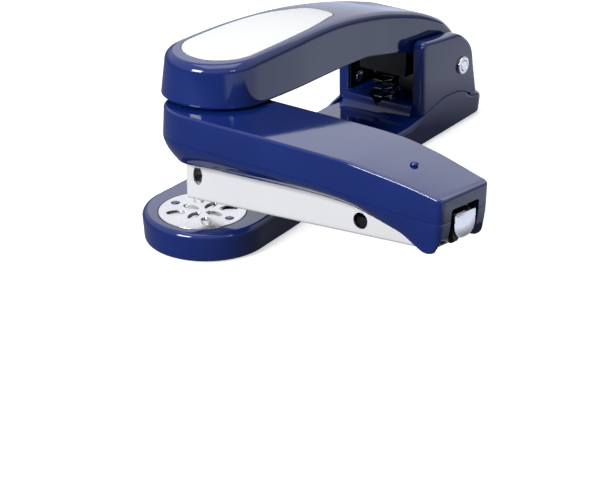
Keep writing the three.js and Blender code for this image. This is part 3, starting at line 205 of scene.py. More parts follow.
# %% Make, cut and join meshes
def make(name, patches, pose):
    made = bmesh.new()
    for points, faces in patches:
        corners = [made.verts.new(pose @ Vector(p)) for p in points]
        for face in faces:
            made.faces.new([corners[i] for i in face])
    bmesh.ops.remove_doubles(made, verts=made.verts, dist=0.002)
    bmesh.ops.dissolve_degenerate(made, edges=made.edges, dist=0.0005)
    bmesh.ops.recalc_face_normals(made, faces=made.faces)
    bmesh.ops.scale(made, vec=(MM, MM, MM), verts=made.verts)
    mesh = bpy.data.meshes.new(name)
    made.to_mesh(mesh)
    made.free()
    piece = bpy.data.objects.new(name, mesh)
    bpy.context.scene.collection.objects.link(piece)
    return piece


def shade(piece, angle=32):
    piece.data.shade_smooth()
    piece.data.set_sharp_from_angle(angle=math.radians(angle))
    return piece


def apply_all(piece):
    bpy.context.view_layer.update()
    seen = piece.evaluated_get(bpy.context.evaluated_depsgraph_get())
    mesh = bpy.data.meshes.new_from_object(seen)
    piece.modifiers.clear()
    old, piece.data = piece.data, mesh
    mesh.name = piece.name
    bpy.data.meshes.remove(old)


def carve(piece, *tools, how="DIFFERENCE"):
    for tool in tools:
        change = piece.modifiers.new("carve", "BOOLEAN")
        change.operation = how
        change.solver = "EXACT"
        change.object = tool
        apply_all(piece)
        bpy.data.objects.remove(tool)
    return piece


def round_edges(piece, width, angle=35, steps=2):
    change = piece.modifiers.new("round_edges", "BEVEL")
    change.width = width * MM
    change.segments = steps
    change.limit_method = "ANGLE"
    change.angle_limit = math.radians(angle)
    change.harden_normals = False
    change.use_clamp_overlap = True
    apply_all(piece)
    return piece


def fit(piece, body, slot, finish, *replaced):
    piece.data.materials.clear()
    piece.data.materials.append(finish)
    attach(piece, body)
    if replaced:
        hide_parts(*replaced)
    print(piece.name, "rides on", body, "with", len(piece.data.polygons), "faces")
    return piece

# %% [markdown]
# ## Finishes
# Moulded plastic isn't one flat colour. It has a faint unevenness that bends the
# reflections, patches that are a little duller where hands touch it, and very fine
# hairlines. Each finish mixes two close colours by noise, varies the roughness by a
# second noise, and adds a shallow bump. All noise is laid out in metres on the piece
# itself, so it moves with the piece and stays at its real scale.

# %% Node helpers
def noise(tree, place, scale, detail=3.0, stretch=None):
    tex = tree.nodes.new("ShaderNodeTexNoise")
    tex.inputs["Scale"].default_value = scale
    tex.inputs["Detail"].default_value = detail
    source = place.outputs["Object"]
    if stretch:
        mapping = tree.nodes.new("ShaderNodeMapping")
        mapping.inputs["Scale"].default_value = stretch
        tree.links.new(source, mapping.inputs["Vector"])
        source = mapping.outputs["Vector"]
    tree.links.new(source, tex.inputs["Vector"])
    return tex.outputs["Fac"]


def between(tree, value, low, high, clip=(0.3, 0.7)):
    span = tree.nodes.new("ShaderNodeMapRange")
    for name, number in zip(("From Min", "From Max", "To Min", "To Max"), (*clip, low, high)):
        span.inputs[name].default_value = number
    tree.links.new(value, span.inputs["Value"])
    return span.outputs["Result"]


def blended(tree, value, first, second):
    mix = tree.nodes.new("ShaderNodeMix")
    mix.data_type = "RGBA"
    mix.inputs["A"].default_value = (*first, 1)
    mix.inputs["B"].default_value = (*second, 1)
    tree.links.new(value, mix.inputs["Factor"])
    return mix.outputs["Result"]


def bumped(tree, height, distance, strength, under=None):
    bump = tree.nodes.new("ShaderNodeBump")
    bump.inputs["Distance"].default_value = distance
    bump.inputs["Strength"].default_value = strength
    tree.links.new(height, bump.inputs["Height"])
    if under:
        tree.links.new(under, bump.inputs["Normal"])
    return bump.outputs["Normal"]


def new_finish(name):
    finish = bpy.data.materials.new(name)
    finish.use_nodes = True
    tree = finish.node_tree
    shader = tree.nodes["Principled BSDF"]
    place = tree.nodes.new("ShaderNodeTexCoord")
    return finish, tree, shader, place

# %% Moulded plastics
def moulded(name, color, worn, gloss, ripple, ior=1.46):
    finish, tree, shader, place = new_finish(name)
    patches = noise(tree, place, 38.0, 4.0)
    ripples = noise(tree, place, 210.0, 2.0)
    hairlines = noise(tree, place, 900.0, 5.0, (1.0, 0.12, 1.0))
    tree.links.new(blended(tree, between(tree, patches, 0, 1), color, worn), shader.inputs["Base Color"])
    tree.links.new(between(tree, patches, gloss[0], gloss[1]), shader.inputs["Roughness"])
    lower = bumped(tree, ripples, 0.0004, ripple)
    tree.links.new(bumped(tree, hairlines, 0.00002, 0.25, lower), shader.inputs["Normal"])
    shader.inputs["IOR"].default_value = ior
    return finish


navy_gloss = moulded("navy_gloss_plastic", (0.003, 0.017, 0.142), (0.005, 0.021, 0.158),
                     gloss=(0.05, 0.1), ripple=0.012, ior=1.5)
pale_plastic = moulded("pale_magazine_plastic", (0.75, 0.755, 0.785), (0.72, 0.725, 0.755),
                       gloss=(0.28, 0.38), ripple=0.03)
# Near black, darker than the plastic alone: partly real black plastic, partly painted shade, so the rail's end
# block reads as lying in shadow.
black_plastic = moulded("black_plastic", (0.005, 0.005, 0.006), (0.008, 0.008, 0.009),
                        gloss=(0.4, 0.55), ripple=0.05, ior=1.35)

# %% [markdown]
# The pad below the base is rubber: matt, with a fine moulded grain and a little dust in
# the hollows. The inlay in the arm is a satin silver sheet. It is mostly paint, with a
# little metal in it and a very fine grain that spreads the light evenly.

# %% Rubber pad and satin inlay
def rubbery(name, color, dust):
    finish, tree, shader, place = new_finish(name)
    grain = noise(tree, place, 2600.0, 2.0)
    patches = noise(tree, place, 55.0, 3.0)
    tree.links.new(blended(tree, between(tree, patches, 0, 1), color, dust), shader.inputs["Base Color"])
    tree.links.new(between(tree, grain, 0.7, 0.92), shader.inputs["Roughness"])
    tree.links.new(bumped(tree, grain, 0.0001, 0.5), shader.inputs["Normal"])
    return finish


def satin(name, color, shaded, metal, gloss):
    finish, tree, shader, place = new_finish(name)
    grain = noise(tree, place, 3200.0, 3.0)
    patches = noise(tree, place, 45.0, 3.0)
    tree.links.new(blended(tree, between(tree, patches, 0, 1), color, shaded), shader.inputs["Base Color"])
    tree.links.new(between(tree, grain, gloss[0], gloss[1]), shader.inputs["Roughness"])
    tree.links.new(bumped(tree, grain, 0.00003, 0.3), shader.inputs["Normal"])
    shader.inputs["Metallic"].default_value = metal
    return finish


rubber = rubbery("black_rubber", (0.018, 0.018, 0.02), (0.03, 0.03, 0.032))
silver_inlay = satin("satin_silver_inlay", (0.89, 0.90, 0.90), (0.87, 0.88, 0.88), 0.15, (0.3, 0.4))

# %% [markdown]
# Sheet steel shows the direction in which it was rolled. Stretching the noise along one
# axis turns round spots into long streaks, and these streaks drive both the roughness
# and a hair-thin bump. Polished fittings get weaker streaks and a lower roughness.

# %% Steels
def rolled(name, color, shaded, gloss, stretch, depth):
    finish, tree, shader, place = new_finish(name)
    streaks = noise(tree, place, 420.0, 6.0, stretch)
    patches = noise(tree, place, 90.0, 3.0)
    tree.links.new(blended(tree, between(tree, patches, 0, 1), color, shaded), shader.inputs["Base Color"])
    tree.links.new(between(tree, streaks, gloss[0], gloss[1]), shader.inputs["Roughness"])
    tree.links.new(bumped(tree, streaks, 0.00002, depth), shader.inputs["Normal"])
    shader.inputs["Metallic"].default_value = 1.0
    return finish


bright_steel = rolled("bright_steel", (0.68, 0.69, 0.71), (0.58, 0.59, 0.61),
                      gloss=(0.2, 0.34), stretch=(1, 9, 9), depth=0.3)
polished_steel = rolled("polished_steel", (0.7, 0.69, 0.68), (0.62, 0.61, 0.6),
                        gloss=(0.07, 0.14), stretch=(1, 3, 3), depth=0.1)
anvil_steel = rolled("nickelled_anvil_steel", (0.54, 0.54, 0.55), (0.48, 0.48, 0.49),
                     gloss=(0.16, 0.26), stretch=(3, 3, 3), depth=0.15)
dark_steel = rolled("dark_sheet_steel", (0.03, 0.031, 0.035), (0.05, 0.05, 0.055),
                    gloss=(0.3, 0.46), stretch=(1, 8, 8), depth=0.3)
spring_steel = rolled("spring_steel", (0.55, 0.56, 0.58), (0.42, 0.43, 0.45),
                      gloss=(0.18, 0.3), stretch=(4, 4, 1), depth=0.2)
# Near-black spring wire: painted shade, so the return spring reads as lying in the dark of the yoke.
shade_dark_spring = rolled("spring_steel_painted_shade", (0.06, 0.06, 0.065), (0.09, 0.09, 0.095),
                     gloss=(0.12, 0.22), stretch=(4, 4, 1), depth=0.2)
print("finishes:", len(bpy.data.materials))

# %% [markdown]
# ## Base shell
# The base is one moulded tray, open below. Its plan is round round the anvil, draws in
# to a waist and ends square with round corners. Beside the yoke its rim rises in a
# wave. The stack of rings lets the rim height, and the radius of its rounding, change
# along the base, so the wave grows out of the rim instead of standing on it.

# %% Base measures
BASE_TOP, BASE_REAR, BASE_SIDE = 11.5, 161.5, 23.5
BASE_RIM, WAVE_WALL, WAVE_EDGE = 2.0, 2.0, 0.6
BASE_FRONT, BASE_CORNER, CEILING, FOOT, FOOT_ROUND = 3.4, 6, 9.0, 0.5, 1.6
ANVIL_SEAT, ANVIL_SEAT_RADIUS, STAKE_X = 10.6, 16.1, 12
base_width = follow([(0.021, 1), (0.074, 0.987), (0.155, 0.97), (0.31, 0.902), (0.464, 0.868),
                     (0.619, 0.857), (0.743, 0.86), (0.932, 0.86)], 0, BASE_REAR, BASE_SIDE)
base_outline = shell_outline(BASE_FRONT, BASE_SIDE, base_width, BASE_REAR, BASE_CORNER)
wave_at = follow([(-0.2, 0), (-0.05, 0), (0, 0), (0.048, 0.049), (0.095, 0.146), (0.179, 0.268),
                  (0.262, 0.415), (0.381, 0.707), (0.488, 0.927), (0.571, 1), (0.643, 1), (0.738, 0.927),
                  (0.833, 0.756), (0.929, 0.415), (0.975, 0.15), (1.0, 0.01), (1.048, -0.12),
                  (1.095, -0.25), (1.143, -0.36), (1.19, -0.46), (1.25, -0.58), (1.3, -0.66)],
                 107, 42, 4.1)
rim_radius = lambda y: BASE_RIM - (BASE_RIM - WAVE_EDGE) * np.clip(wave_at(y) / 1.5, 0, 1)

# %% Base rings
def rim_ring(t):
    return (lambda y: rim_radius(y) * (1 - math.cos(t)),
            lambda y: BASE_TOP + wave_at(y) - rim_radius(y) * (1 - math.sin(t)))


def inner_rim_ring(t):
    reach = lambda y: np.clip(wave_at(y), 0, WAVE_EDGE)
    return (lambda y: WAVE_WALL - reach(y) * (1 - math.sin(t)),
            lambda y: BASE_TOP + wave_at(y) - reach(y) * (1 - math.cos(t)))


base_layers = [(2.5, lambda y: CEILING + np.minimum(wave_at(y), 0)), (2.95, 0.85), (2.75, 0.55), (2.4, FOOT)]
base_layers += [(FOOT + FOOT_ROUND * (1 - math.sin(t)), FOOT + FOOT_ROUND * (1 - math.cos(t)))
                for t in quarter(6)]
base_layers += [(0, lambda y: BASE_TOP - BASE_RIM + np.minimum(wave_at(y), 0) - 0.02)]
base_layers += [rim_ring(t) for t in quarter(9)]
base_layers += [inner_rim_ring(t) for t in quarter(4)]
base_layers += [(WAVE_WALL, lambda y: BASE_TOP + np.minimum(wave_at(y), 0))]
base_body = make("base_body", [loft(base_outline, base_layers)], base_pose)
seat = [(0, ANVIL_SEAT), (ANVIL_SEAT_RADIUS, ANVIL_SEAT), (ANVIL_SEAT_RADIUS, 14), (0, 14)]
carve(base_body, make("anvil_seat", [turned(seat, 96)], base_pose))
stake = softened(1.5, 9.5, 11.95, 0.4)
carve(base_body, make("stakes", [turned(stake)], Matrix.Translation((STAKE_X, 0, 0))),
      make("other_stake", [turned(stake)], Matrix.Translation((-STAKE_X, 0, 0))), how="UNION")
fit(shade(base_body), "base", "navy_plastic", navy_gloss, "base_shell")

# %% [markdown]
# ## Anvil
# The anvil is stamped from bright sheet steel. Four pressed leaves run out from its
# middle, and four more lie between them further out. Pressing bends the sheet, so its
# hollows have soft flanks. A fine polar grid with a depth for each point copies that
# better than cutting sharp slots, and two holes take the stakes.

# %% Pressed leaves
ANVIL_TOP, ANVIL_FLAT, ANVIL_EDGE, LEAF_DEPTH = 11.7, 15.55, 0.25, 0.7
leaf_shape = follow([(0, 0), (0.12, 0.65), (0.4, 1), (0.7, 0.88), (0.9, 0.5), (1, 0)])
inner_leaf, outer_leaf = (1.8, 6.6, 1.6), (6.2, 6.9, 1.9)
leaves = [(90 * i, *inner_leaf) for i in range(4)] + [(90 * i + 45, *outer_leaf) for i in range(4)]


def pressed_depth(x, y):
    deep = 0.0
    for angle, start, length, half_width in leaves:
        turn = math.radians(angle)
        along = (x * math.cos(turn) + y * math.sin(turn) - start) / length
        side = abs(-x * math.sin(turn) + y * math.cos(turn)) / half_width
        if 0 < along < 1:
            flank = 1 - side / max(float(leaf_shape(along)), 0.05)
            deep = max(deep, LEAF_DEPTH * min(1, max(0, flank * 1.7)) ** 0.8)
    return deep


rings = [0.001] + [0.3 * i for i in range(1, 52)] + [ANVIL_FLAT]
disc = [(r, ANVIL_TOP) for r in rings]
disc += [(ANVIL_FLAT + ANVIL_EDGE * math.sin(t), ANVIL_TOP - ANVIL_EDGE + ANVIL_EDGE * math.cos(t))
         for t in quarter(4)[1:]]
disc += [(15.8, ANVIL_SEAT), (0.001, ANVIL_SEAT)]
points, faces = turned(disc, 192)
for p in points:
    if p[2] == ANVIL_TOP:
        p[2] -= pressed_depth(p[0], p[1])
anvil = make("anvil_plate", [(points, faces)], base_pose)
for x in (STAKE_X, -STAKE_X):
    hole = turned([(0, 9), (1.65, 9), (1.65, 14), (0, 14)], 40)
    carve(anvil, make("hole", [hole], Matrix.Translation((x, 0, 0))))
fit(shade(anvil, 40), "base", "steel", anvil_steel, "anvil_disc")

# %% [markdown]
# ## Yoke
# Two cheeks on a sill carry the pin of the arm. Each cheek is a thick plate with an
# outline like a shark fin and a full rounding all round its outer face, which catches
# the light as a bright line. The cheek is a loft lying on its side: its rings run from
# the inner face to the outer one. The bore for the pin isn't cut in this mesh, as it is
# in the frame's solid: the pin simply passes through.

# %% Yoke cheeks and sill
YOKE_FRONT, YOKE_DEPTH, YOKE_RISE, YOKE_SIDE = 113.0, 40.4, 32.1, 19.8
SILL_TOP, SILL_FOOT, SILL_REAR, SILL_ROUND, SILL_HALF = 16.8, 9.6, 153.74, 3.4, 15.5
CHEEK_INNER, CHEEK_INNER_ROUND, CHEEK_ROUND, CHEEK_FRONT_ROUND = 14.8, 0.7, 1.6, 2.6
SPRING_Y, SPRING_FOOT = 119.5, 12.15
cheek_table = [(0.071, 0.999), (0.167, 0.978), (0.31, 0.95), (0.452, 0.925), (0.6, 0.9), (0.69, 0.854),
               (0.771, 0.785), (0.843, 0.701), (0.893, 0.607), (0.918, 0.5), (0.934, 0.36), (1.005, -0.109)]
CHEEK_BACK, CHEEK_DROP = 2.4, 1.4
rough = np.array([(YOKE_FRONT + CHEEK_BACK + a * YOKE_DEPTH, BASE_TOP + b * (YOKE_RISE - CHEEK_DROP))
                  for a, b in cheek_table])


def smooth_line(points, step=0.8):
    run = np.concatenate([[0], np.cumsum(np.linalg.norm(np.diff(points, axis=0), axis=1))])
    fine = np.linspace(0, run[-1], int(run[-1] / step))
    ways = [follow(list(zip(run, points[:, k])))(fine) for k in (0, 1)]
    return [(float(a), float(b)) for a, b in zip(*ways)]


cheek_front = YOKE_FRONT + CHEEK_BACK
cheek_line = [(cheek_front, 5.0)]
cheek_line += [(cheek_front + CHEEK_FRONT_ROUND - CHEEK_FRONT_ROUND * math.cos(t),
                41.0 - CHEEK_DROP + CHEEK_FRONT_ROUND * math.sin(t)) for t in np.linspace(0, 1.7, 12)]
cheek_line += [(y, z) for y, z in smooth_line(rough)[1:] if z > BASE_TOP] + [(156.8, 5.0)]
cheek_line = cheek_line[::-1]
cheek_rings = [(CHEEK_INNER_ROUND * (1 - math.sin(t)), CHEEK_INNER + CHEEK_INNER_ROUND * (1 - math.cos(t)))
               for t in quarter(4)]
cheek_rings += [(CHEEK_ROUND * (1 - math.cos(t)), YOKE_SIDE - CHEEK_ROUND * (1 - math.sin(t)))
                for t in quarter(8)]
mirror = Matrix.Scale(-1, 4, (1, 0, 0))
sill = [(YOKE_FRONT - SILL_ROUND * (1 - math.cos(t)), BASE_TOP + SILL_ROUND * (1 - math.sin(t)))
        for t in quarter(8)[::-1]]
sill += [(YOKE_FRONT, SILL_TOP - 1.2), (YOKE_FRONT + 0.35, SILL_TOP - 0.35), (YOKE_FRONT + 1.2, SILL_TOP),
         (SILL_REAR, SILL_TOP), (SILL_REAR, SILL_FOOT), (YOKE_FRONT - SILL_ROUND, SILL_FOOT)]
yoke = make("yoke_body", [loft(cheek_line, cheek_rings, "face")], across)
carve(yoke, make("cheek", [loft(cheek_line, cheek_rings, "face")], mirror @ across),
      make("sill", [loft(sill[::-1], [(0, -SILL_HALF), (0, SILL_HALF)], "face")], across), how="UNION")
wave_y = np.linspace(106.2, 150.5, 60)
wave_room = [(y, BASE_TOP + float(wave_at(y)) + 0.25) for y in wave_y] + [(150.5, 9.0), (106.2, 9.0)]
under = [(60, -5), (200, -5), (200, BASE_TOP - 2.4), (60, BASE_TOP - 2.4)]
carve(yoke, make("below", [loft(under, [(0, -30), (0, 30)], "face")], across),
      make("room", [loft(wave_room, [(0, 17.9), (0, 24)], "face")], across),
      make("room_left", [loft(wave_room, [(0, 17.9), (0, 24)], "face")], mirror @ across),
      make("well", [turned([(0, 12), (6.6, 12), (6.6, 30), (0, 30)])], Matrix.Translation((0, SPRING_Y, 0))))
fit(shade(yoke), "base", "navy_plastic", navy_gloss, "yoke_housing")

# %% [markdown]
# ## Pin, cap and rivets
# Bright steel fittings catch the eye, so each is turned with a soft edge. A turned form
# lies along Z, and a quarter turn round Y lays it along the pin.

# %% Turned fittings of the yoke
lying = Matrix.Rotation(math.pi / 2, 4, "Y")
at_pin = Matrix.Translation((0, PIN_Y, PIN_Z)) @ lying
PIN_RADIUS, PIN_HEAD, PIN_HEAD_DOME = 3.0, 3.6, 0.7
pin = [(0, -20.9)] + [(PIN_HEAD * math.sin(t), -20.2 - PIN_HEAD_DOME * math.cos(t)) for t in quarter(8)[1:]]
pin += [(PIN_HEAD, -YOKE_SIDE), (PIN_RADIUS, -YOKE_SIDE), (PIN_RADIUS, YOKE_SIDE), (2.0, YOKE_SIDE),
        (2.0, 20.8), (1.8, 21.0), (0, 21.0)]
fit(shade(make("bright_pin", [turned(pin)], at_pin)), "base", "steel", polished_steel, "pivot_pin")
cap = [(2.15, YOKE_SIDE), (PIN_HEAD, YOKE_SIDE), (PIN_HEAD, 20.3)]
cap += [(3.0 + 0.6 * math.cos(t), 20.3 + 0.6 * math.sin(t)) for t in quarter(6)[1:]]
cap += [(2.35, 20.9), (2.15, 20.7), (2.15, YOKE_SIDE)]
fit(shade(make("bright_pin_cap", [turned(cap)], at_pin)), "base", "steel", polished_steel, "pin_cap")
for name, side in (("right", 1), ("left", -1)):
    head = [(0, 13.5)] + [(2.4 * math.sin(t), 14.05 - 0.55 * math.cos(t)) for t in quarter(8)[1:]]
    head += [(2.4, 14.2), (0, 14.2)]
    place = Matrix.Scale(side, 4, (1, 0, 0)) @ Matrix.Translation((0, 122.3, 19.9)) @ lying
    rivet = make("domed_rivet_" + name, [turned(head)], place)
    fit(shade(rivet), "base", "steel", bright_steel, "frame_rivet_" + name)

# %% [markdown]
# ## Springs
# A pressed spring is a round wire whose last turns lie flat at each end. Its mesh is a
# tube that follows a helix with a slower rise at the ends. Each spring gets a mesh of its own.

# %% Wire forms
def wound(radius, wire, curls, height, flat=0.6, steps=28, sides=12):
    count = int(curls * steps)
    turns = np.linspace(0, curls, count + 1)
    rise = np.clip(turns - flat, 0, curls - 2 * flat) / (curls - 2 * flat)
    rise = rise * (height - 2 * wire - 2 * flat * 2.2 * wire)
    rise += 2.2 * wire * (np.minimum(turns, flat) + np.maximum(turns - (curls - flat), 0))
    angle = 2 * math.pi * turns
    path = np.column_stack([radius * np.cos(angle), radius * np.sin(angle), wire + rise])
    along = np.gradient(path, axis=0)
    along /= np.linalg.norm(along, axis=1)[:, None]
    out = np.column_stack([np.cos(angle), np.sin(angle), np.zeros_like(angle)])
    up = np.cross(along, out)
    points, faces = [], []
    for i in range(count + 1):
        for k in range(sides):
            t = 2 * math.pi * k / sides
            points.append(path[i] + wire * (math.cos(t) * out[i] + math.sin(t) * up[i]))
    for i in range(count):
        for k in range(sides):
            m = (k + 1) % sides
            faces.append((i * sides + k, i * sides + m, (i + 1) * sides + m, (i + 1) * sides + k))
    faces += [tuple(range(sides)), tuple(range(count * sides, count * sides + sides))]
    return np.array(points), faces

# %% Return spring of the arm
coil_place = Matrix.Translation((0, SPRING_Y, SPRING_FOOT))
return_coil = make("return_coil", [wound(radius=5, wire=0.5, curls=4.5, height=13.3)], coil_place)
# The return spring takes the near-black wire of painted shade.
fit(shade(return_coil, 60), "base", "steel", shade_dark_spring, "return_spring")
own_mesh(return_coil)

# %% [markdown]
# ## Arm
# The arm is a long hollow cover. Seen from above it is a drum in front that narrows to
# a slim tail, and from the side its crown runs nearly level and then falls to the pin.
# One table gives the crown, another the lower edge, and the rings between them make the
# draught of the walls and the soft rounding where the walls meet the top. As in the
# yoke, the bore for the pin isn't cut in this mesh.

# %% Arm measures
ARM_FRONT, ARM_LENGTH, DRUM = 7.0, 146.0, 18.9
AXLE_BORE = 3.15
arm_width = follow([(0, 1), (0.089, 0.992), (0.178, 0.968), (0.253, 0.926), (0.329, 0.878), (0.404, 0.836),
                    (0.479, 0.799), (0.562, 0.767), (0.644, 0.741), (0.774, 0.725), (0.973, 0.725)],
                   ARM_FRONT, ARM_LENGTH, DRUM)
crown = follow([(-0.13, 0.952), (-0.075, 0.962), (0, 0.974), (0.089, 0.987), (0.178, 0.997), (0.26, 1.002),
                (0.329, 1.002), (0.404, 0.994), (0.479, 0.978), (0.562, 0.953), (0.644, 0.921),
                (0.705, 0.89), (0.774, 0.852), (0.829, 0.812), (0.877, 0.769), (0.918, 0.723),
                (0.952, 0.664), (0.976, 0.602), (0.993, 0.525), (1, 0.473)], ARM_FRONT, ARM_LENGTH, 58.1)
arm_edge = follow([(-0.13, 1), (0.089, 1), (0.26, 1.005), (0.5, 1.005), (0.548, 0.988), (0.596, 0.96),
                   (0.658, 0.925), (0.705, 0.896), (0.74, 0.851), (0.774, 0.781), (0.815, 0.672),
                   (0.849, 0.557), (0.877, 0.495), (0.904, 0.46), (0.936, 0.445), (0.962, 0.465),
                   (0.979, 0.502), (0.993, 0.552), (1, 0.592)], ARM_FRONT, ARM_LENGTH, 40.2)
arm_round = follow([(-0.13, 0.95), (0.3, 0.95), (0.45, 0.97), (0.6, 1), (0.95, 1), (0.98, 0.8), (1, 0.42)],
                   ARM_FRONT, ARM_LENGTH, 3.5)
arm_outline = shell_outline(ARM_FRONT, DRUM, arm_width, ARM_FRONT + ARM_LENGTH, 4.8, 1.1)

# %% Arm shell
over = lambda curve, change: (lambda y: curve(y) + change)
ARM_WALL = 2.2
arm_layers = [(6.2, over(crown, -ARM_WALL)), (2.8, lambda y: crown(y) - ARM_WALL - arm_round(y)),
              (2.0, over(arm_edge, 0.4)), (1.6, over(arm_edge, 0)), (0.5, over(arm_edge, 0)),
              (0.15, over(arm_edge, 0.12)), (0, over(arm_edge, 0.45)), (0.04, over(arm_edge, 1.0))]
for t in quarter(10):
    arm_layers.append((0.8 + 3.4 * (1 - math.cos(t)),
                       lambda y, t=t: crown(y) - arm_round(y) * (1 - math.sin(t))))
arm_body = make("arm_body", [loft(arm_outline, arm_layers)], arm_pose)
INLAY_FRONT, INLAY_SIDE, INLAY_REAR, INLAY_CORNER = 9.8, 13.9, 73.0, 6.4
inlay_width = follow([(INLAY_FRONT, INLAY_SIDE), (15, 14.0), (25, 13.8), (35, 13.3), (45, 12.4), (53, 11.1),
                      (60, 9.4), (65, 8.0), (68, 7.1)])
inlay_outline = shell_outline(INLAY_FRONT, INLAY_SIDE, inlay_width, INLAY_REAR, INLAY_CORNER, 1.2)
seat = [(-0.3, over(crown, -1.3)), (-0.3, over(crown, 0)), (-0.55, over(crown, 0.3)), (-0.55, over(crown, 3))]
boss = turned([(0, 40.6), (8.6, 40.6), (9, 41), (9, 54.6), (0, 54.6)])
carve(arm_body, make("boss", [boss], arm_pose), how="UNION")
carve(arm_body, make("seat", [loft(inlay_outline, seat)], arm_pose),
      make("bore", [turned([(0, 38), (AXLE_BORE, 38), (AXLE_BORE, 54), (0, 54)])], arm_pose))
fit(shade(arm_body), "arm", "navy_plastic", navy_gloss, "arm_shell")

# %% [markdown]
# ## Inlay
# A thin silver plate lies in a recess in the top of the arm. A narrow dark gap all
# round it and a soft edge that stands a little proud make it read as a separate piece.

# %% Silver inlay
inlay_layers = [(0, over(crown, -1)), (0, over(crown, -0.15))]
inlay_layers += [(0.3 * (1 - math.cos(t)), over(crown, -0.15 + 0.3 * math.sin(t))) for t in quarter(5)[1:]]
inlay = make("silver_inlay_plate", [loft(inlay_outline, inlay_layers)], arm_pose)
fit(shade(inlay), "arm", "silver_inlay", silver_inlay, "arm_inlay")

# %% [markdown]
# ## Head cover and skirt
# The stapling head is two mouldings that meet at a fine seam. The cover is a long
# rounded lid, and the skirt below it draws in towards the magazine. Both lofts share
# one outline, so their walls line up at the seam. The tail has an open notch, through
# which the button of the magazine is reached.

# %% Head measures
NOSE_U, HEAD_LENGTH, HEAD_SIDE = 6.3, 104.3, 18.5
TAIL_U = NOSE_U + HEAD_LENGTH
NUB_U, SKIRT_CORNER = 89.7, 6.2
head_width = follow([(0, 1), (0.131, 1), (0.323, 1), (0.467, 1), (0.563, 0.995), (0.668, 0.962),
                     (0.774, 0.914), (0.879, 0.838), (0.935, 0.803), (0.965, 0.784)],
                    NOSE_U, HEAD_LENGTH, HEAD_SIDE)
head_top = follow([(-0.185, 0.992), (-0.06, 0.997), (0.131, 1), (0.515, 1), (0.592, 0.997), (0.659, 0.99),
                   (0.755, 0.959), (0.822, 0.934), (0.879, 0.906), (0.937, 0.875), (1, 0.839)],
                  NOSE_U, HEAD_LENGTH, 39.2)
seam = follow([(-0.185, 1), (0.515, 1), (0.572, 0.993), (0.649, 0.961), (0.726, 0.919), (0.831, 0.884),
               (0.908, 0.87), (1.004, 0.87)], NOSE_U, HEAD_LENGTH, 28.5)
skirt_line = follow([(-0.185, 0.852), (-0.041, 0.861), (0.074, 0.904), (0.208, 0.93), (0.371, 0.97),
                     (0.553, 1), (0.659, 0.983), (0.755, 0.909), (0.822, 0.835), (0.86, 0.783),
                     (0.908, 0.665), (0.937, 0.6), (0.975, 0.568), (1.004, 0.562)], NOSE_U, HEAD_LENGTH, 23)
skirt_draw = follow([(-0.185, 1), (0.419, 1), (0.515, 0.96), (0.659, 0.76), (0.802, 0.42), (0.946, 0.14),
                     (1.004, 0.12)], NOSE_U, HEAD_LENGTH, 5)
head_outline = shell_outline(NOSE_U, HEAD_SIDE, head_width, TAIL_U, 2.6, 1.2)


def skirt_edge(u):
    into_corner = np.clip(np.asarray(u) - TAIL_U + SKIRT_CORNER, 0, 6.19)
    return skirt_line(u) + SKIRT_CORNER - np.sqrt(SKIRT_CORNER ** 2 - into_corner ** 2)


on_head = head_pose @ along_head

# %% Head cover
cover_layers = [(2, over(head_top, -2.4)), (2, over(seam, 0.3)), (1.8, over(seam, 0.03)),
                (0.12, over(seam, 0.03)), (0.03, over(seam, 0.07)), (0, over(seam, 0.2))]
cover_layers += [(1.0 - math.cos(t), over(head_top, -(1 - math.sin(t)))) for t in quarter(7)]
cover = make("head_cover_shell", [loft(head_outline, cover_layers)], on_head)
notch_box = soft_box(-8.2, 0, 8.2, 28.5, 1.2)
def notch():
    return make("notch", [loft(notch_box, [(0, TAIL_U - 6), (0, TAIL_U + 1)], "face")], head_pose @ across)


nub_place = head_pose @ Matrix.Translation((NUB_U, 0, 0))
carve(cover, notch(), make("bore", [turned([(0, 30), (AXLE_BORE, 30), (AXLE_BORE, 42), (0, 42)])], head_pose),
      make("stem_room", [turned([(0, 30), (1.05, 30), (1.05, 42), (0, 42)], 32)], nub_place))
fit(shade(cover), "head", "navy_plastic", navy_gloss, "head_cover")

# %% Head skirt
def skirt_wall(t):
    return (lambda u: skirt_draw(u) * t ** 1.6,
            lambda u: seam(u) - 0.2 + (skirt_edge(u) + 0.35 - seam(u) + 0.2) * t)


skirt_layers = [(1.8, over(seam, -0.03)), (0.12, over(seam, -0.03)), (0.03, over(seam, -0.07))]
skirt_layers += [skirt_wall(i / 8) for i in range(9)]
for inset, lift in ((0.1, 0.12), (0.35, 0), (1.45, 0), (1.7, 0.12), (1.8, 0.4)):
    skirt_layers.append((lambda u, inset=inset: skirt_draw(u) + inset, over(skirt_edge, lift)))
skirt_layers.append((1.8, over(seam, -0.03)))
skirt = make("head_skirt_shell", [loft(head_outline, skirt_layers, "none")], on_head)
carve(skirt, notch())
fit(shade(skirt), "head", "navy_plastic", navy_gloss, "head_skirt")

# %% [markdown]
# ## Nub, magazine and its button
# A small glossy nub on the head clicks into the arm when the head is in line with it.
# The magazine is a pale channel of U section with a round-cornered nose, a D-shaped
# window near its front and a round one further back. It is made as a die would make
# it: a long rounded bar, cut to its side profile, hollowed and pierced.

# %% Nub
NUB_FOOT, NUB_RADIUS, NUB_RISE, STEM_RADIUS, STEM = float(head_top(NUB_U)) + 0.3, 1.5, 1.1, 0.9, 2.6
nub = [(0, NUB_FOOT - STEM), (STEM_RADIUS, NUB_FOOT - STEM), (STEM_RADIUS, NUB_FOOT), (NUB_RADIUS, NUB_FOOT)]
nub += [(NUB_RADIUS * math.cos(t), NUB_FOOT + NUB_RISE * math.sin(t)) for t in quarter(8)[1:]]
glossy_nub = shade(make("glossy_nub", [turned(nub, 40)], nub_place))
fit(glossy_nub, "head", "navy_plastic", navy_gloss, "detent_nub")

